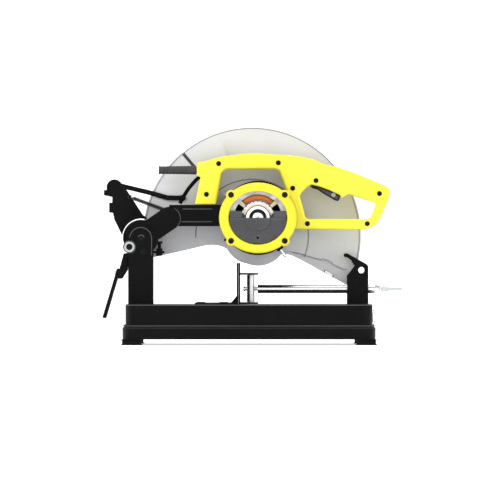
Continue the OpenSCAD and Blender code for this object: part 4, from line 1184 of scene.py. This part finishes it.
@dataclass
class PaintedHighlights:
    """Painted highlights: lighter beads along folded edges, ridges and steps, where the light catches them.
    """

    def line(self, name: str, points: np.ndarray, node: str, wide: float, finish: Finish) -> None:
        """Lays a flat bead on a node's near side, along points given as X and Z in millimetres."""
        middle = points[len(points) // 2] * MM
        shape = frame["nodes"][node].data
        tree = BVHTree.FromPolygons([v.co for v in shape.vertices], [p.vertices for p in shape.polygons])
        place = tree.ray_cast(Vector((middle[0], -1.0, middle[1])), Vector((0, 1, 0)))[0]
        if place is None:
            raise ValueError(f"{name}: nothing of {node} lies under the line")
        bead = sweep(at_depth(points, place.y / MM), ring_section(wide * MM, 0.3 * MM, 10, 0.6))
        settle(surface(name, [bead]), finish, NODE_BODY[node], NODE_SLOT[node])

    def arc_points(self, at: tuple[float, float], r: float, start: float, end: float) -> np.ndarray:
        """Returns X and Z along an arc, from one angle in degrees to another."""
        a = np.radians(np.linspace(start, end, 40))
        return np.stack([at[0] + r * np.cos(a), at[1] + r * np.sin(a)], axis=1)

    def build(self) -> None:
        """Lays every line."""
        arch = self.arc_points((-194.0, 190.5), 19.6, 176, -2)
        arch = np.vstack([arch, np.column_stack([np.full(12, arch[-1, 0]), np.linspace(186, 160, 12)])])
        self.line("post_arch", arch, "rear_post", 0.7, EDGE_HIGHLIGHT)
        self.line("pivot_mark", self.arc_points((-193.0, 191.5), 5.2, 160, 10), "pivot_bolt", 0.7, EDGE_HIGHLIGHT)
        for name, z, low in (("arm_ridge_high", 243.2, -119.0), ("arm_ridge_low", 220.3, -121.0)):
            run = np.column_stack([np.linspace(low, -66.0, 30), np.full(30, z)])
            self.line(name, run, "arm_casting", 0.8, EDGE_HIGHLIGHT)
        elbow = self.arc_points((-143.0, 226.4), 20.2, 62, -50)
        self.line("elbow_end", elbow, "arm_casting", 0.6, EDGE_HIGHLIGHT)
        self.pan_steps()

    def pan_steps(self) -> None:
        """Lays the painted highlight beads round the pan: at its top fold and at both sides of its sloped
        step.
        """
        low, high = (np.array(c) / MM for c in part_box("base_pan"))
        half = (high - low)[:2] / 2
        run_in, rise, corner_r = 5.5, 6.5, 30.5
        rows = (("step_low", 30.6, 0.0, 0.5, FAINT_HIGHLIGHT, 0.0),
                ("step_mid", 33.3, run_in / 2, 2.6, EDGE_HIGHLIGHT, math.atan2(run_in, rise)),
                ("top_fold", 71.3, run_in, 0.75, EDGE_HIGHLIGHT, 0.0))
        for name, z, inward, wide, finish, lean in rows:
            x, y, r = half[0] - inward + 0.02, half[1] - inward + 0.02, corner_r - inward
            corner = np.radians(np.linspace(0, 90, 10))
            path = []
            for k, (sx, sy) in enumerate(((1, 1), (-1, 1), (-1, -1), (1, -1))):
                a = corner + k * math.pi / 2
                path.append(np.column_stack([sx * (x - r) + r * np.cos(a), sy * (y - r) + r * np.sin(a)]))
            path = np.vstack(path)
            path = np.column_stack([path, np.full(len(path), z)]) * MM
            turn = np.array([[math.cos(lean), -math.sin(lean)], [math.sin(lean), math.cos(lean)]])
            bead = sweep(path, ring_section(0.12 * MM, wide * MM, 10, 0.6) @ turn, True, (0, 0, 1))
            settle(surface(name, [bead], True), finish, "base", Slot.BASE)


@dataclass
class CordBoot:
    """The tapered boot where the cord would leave the handle."""

    y: float = -41.0
    z: float = 313.0
    pitch: float = 6.2

    def build(self) -> bpy.types.Object:
        """Turns the boot: a taper with shallow grooves, an end collar and an open bore.

        Returns:
            The boot.
        """
        x = np.linspace(-159.2, -97.0, 150)
        taper = 6.95 + (x + 162) / 67.7 * 0.85
        wave = np.cos((x + 150) / self.pitch * math.tau)
        groove = 0.55 * np.clip(wave * 3 - 2, 0, 1) * ((x > -152) & (x < -104))
        outer = [(4.25, -161.6), (4.7, -162.0), (7.1, -162.0), (7.6, -161.6), (7.7, -160.6), (7.6, -159.8)]
        outer += list(zip((taper - groove).tolist(), x.tolist()))
        outer += [(7.8, -94.5), (5.5, -94.4), (5.5, -82.0), (4.25, -82.0), (4.25, -120.0)]
        points = turned(outer, (0, self.y, self.z), "X", 48)
        return settle(surface("ribbed_boot", [points], True), BOOT_RUBBER, "arm", Slot.RUBBER, "cord_boot")


@dataclass
class Welds:
    """Weld beads where the base's brackets meet the pan."""

    seed: int = 7

    def bead(self, name: str, start: Sequence[float], end: Sequence[float]) -> bpy.types.Object:
        """Runs a bead between two points, in millimetres; its radius ripples like laid weld metal."""
        rng = np.random.default_rng(self.seed)
        p, q = np.array(start), np.array(end)
        long = np.linalg.norm(q - p)
        count = max(20, int(long * 2))
        t = np.linspace(0, 1, count)
        ripple = 1.25 + 0.22 * np.sin(t * long / 2.2 * math.tau) + rng.normal(0, 0.05, count)
        ripple *= np.clip(np.minimum(t, 1 - t) * 25, 0.25, 1)
        section = ring_section(MM, MM, 9)[None] * ripple[:, None, None]
        points = sweep((p + (q - p) * t[:, None]) * MM, section, up=(0, 0.1, 1))
        return settle(surface(name, [points], angle=70), FINISHES[Slot.BASE], "base", Slot.BASE)

    def build(self) -> None:
        """Lays the beads of the rear post and of the front bracket."""
        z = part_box("rear_post")[0][2] / MM + 0.8
        low, high = (np.array(c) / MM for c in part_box("front_bracket"))
        for name, left, right, y in (
            ("weld_post_near", -214, -174, -66.4),
            ("weld_post_far", -214, -174, -8.1),
            ("weld_front_near", high[0] - 36, high[0] - 2, low[1] - 0.4),
            ("weld_front_far", high[0] - 36, high[0] - 2, high[1] + 0.4),
        ):
            self.bead(name, (left, y, z), (right, y, z))


@dataclass
class Studio:
    """The pale floor, the soft light and the camera."""

    aim: tuple[float, float] = (0.9, 169.7)
    distance: float = 13.0
    height: float = 0.9
    floor: float = 15.0
    bend: float = 2.5

    def build(self) -> None:
        """Builds the cove, the lights and the camera."""
        self.cove()
        self.camera()
        world = bpy.data.worlds.new("studio")
        world.use_nodes = True
        world.node_tree.nodes["Background"].inputs[0].default_value = (1, 1, 1, 1)
        world.node_tree.nodes["Background"].inputs[1].default_value = 0.5
        bpy.context.scene.world = world
        bpy.context.scene.view_settings.view_transform = "Standard"
        self.light("key", (-0.9, -1.7, 1.7), (0, 0, 0.18), 1.4, 22)
        self.light("fill", (1.8, -1.4, 0.8), (0, 0, 0.15), 1.4, 5)
        self.light("top", (0.1, -0.1, 2.1), (0, 0, 0.1), 1.3, 18)

    def cove(self) -> bpy.types.Object:
        """Makes the backdrop: a wide round floor that curves up into a wall, a profile turned about Z."""
        a = np.linspace(-math.pi / 2, 0, 24)
        flat = np.column_stack([np.linspace(0.01, self.floor, 14, endpoint=False), np.zeros(14)])
        bend = np.column_stack([self.floor + self.bend * np.cos(a), self.bend + self.bend * np.sin(a)])
        wall = np.column_stack([np.full(4, self.floor + self.bend), np.linspace(3.0, 9.0, 4)])
        r, z = np.concatenate([flat, bend, wall]).T
        turn = np.linspace(0, math.tau, 64, endpoint=False)[:, None]
        points = np.stack(np.broadcast_arrays(np.cos(turn) * r, np.sin(turn) * r, z), axis=-1)
        made = surface("cove", [points], close_rows=True, close_cols=False, capped=False)
        shade = Shade("pale_paper")
        shade.feed("Base Color", shade.blend(shade.noise(3, 3), (0.93, 0.93, 0.93), (0.90, 0.90, 0.90)))
        shade.feed("Roughness", 0.9)
        shade.feed("Emission Color", (1.0, 1.0, 1.0, 1.0))
        shade.feed("Emission Strength", 0.56)
        made.data.materials.append(shade.material)
        return made

    def light(self, name: str, at: Sequence[float], to: Sequence[float], size: float, power: float) -> None:
        """Adds a square soft light at a point in metres, turned towards another."""
        data = bpy.data.lights.new(name, "AREA")
        data.size = size
        data.energy = power
        lamp = bpy.data.objects.new(name, data)
        way = np.array(to, dtype=float) - np.array(at)
        lamp.rotation_euler = Vector(way).to_track_quat("-Z", "Y").to_euler()
        lamp.location = at
        bpy.context.scene.collection.objects.link(lamp)

    def camera(self) -> None:
        """Sets the far, level camera that looks along +Y."""
        data = bpy.data.cameras.new("view")
        data.sensor_fit = "VERTICAL"
        data.sensor_height = 24.0
        data.lens = 24.0 * self.distance / self.height
        data.clip_end = 60
        cam = bpy.data.objects.new("view", data)
        cam.location = (self.aim[0] * MM, -self.distance, self.aim[1] * MM)
        cam.rotation_euler = (math.pi / 2, 0, 0)
        bpy.context.scene.collection.objects.link(cam)
        bpy.context.scene.camera = cam


def main() -> None:
    """Builds the saw's looks in order."""
    logging.basicConfig(level=logging.INFO, format="%(message)s")
    Studio().build()
    Frame().build()
    for part in (Handle(), MotorEnd(), LiftSpring(), Guards(), PaintedHighlights(), CordBoot(), Welds()):
        LOG.info("building %s", type(part).__name__)
        part.build()


if __name__ == "__main__":
    main()
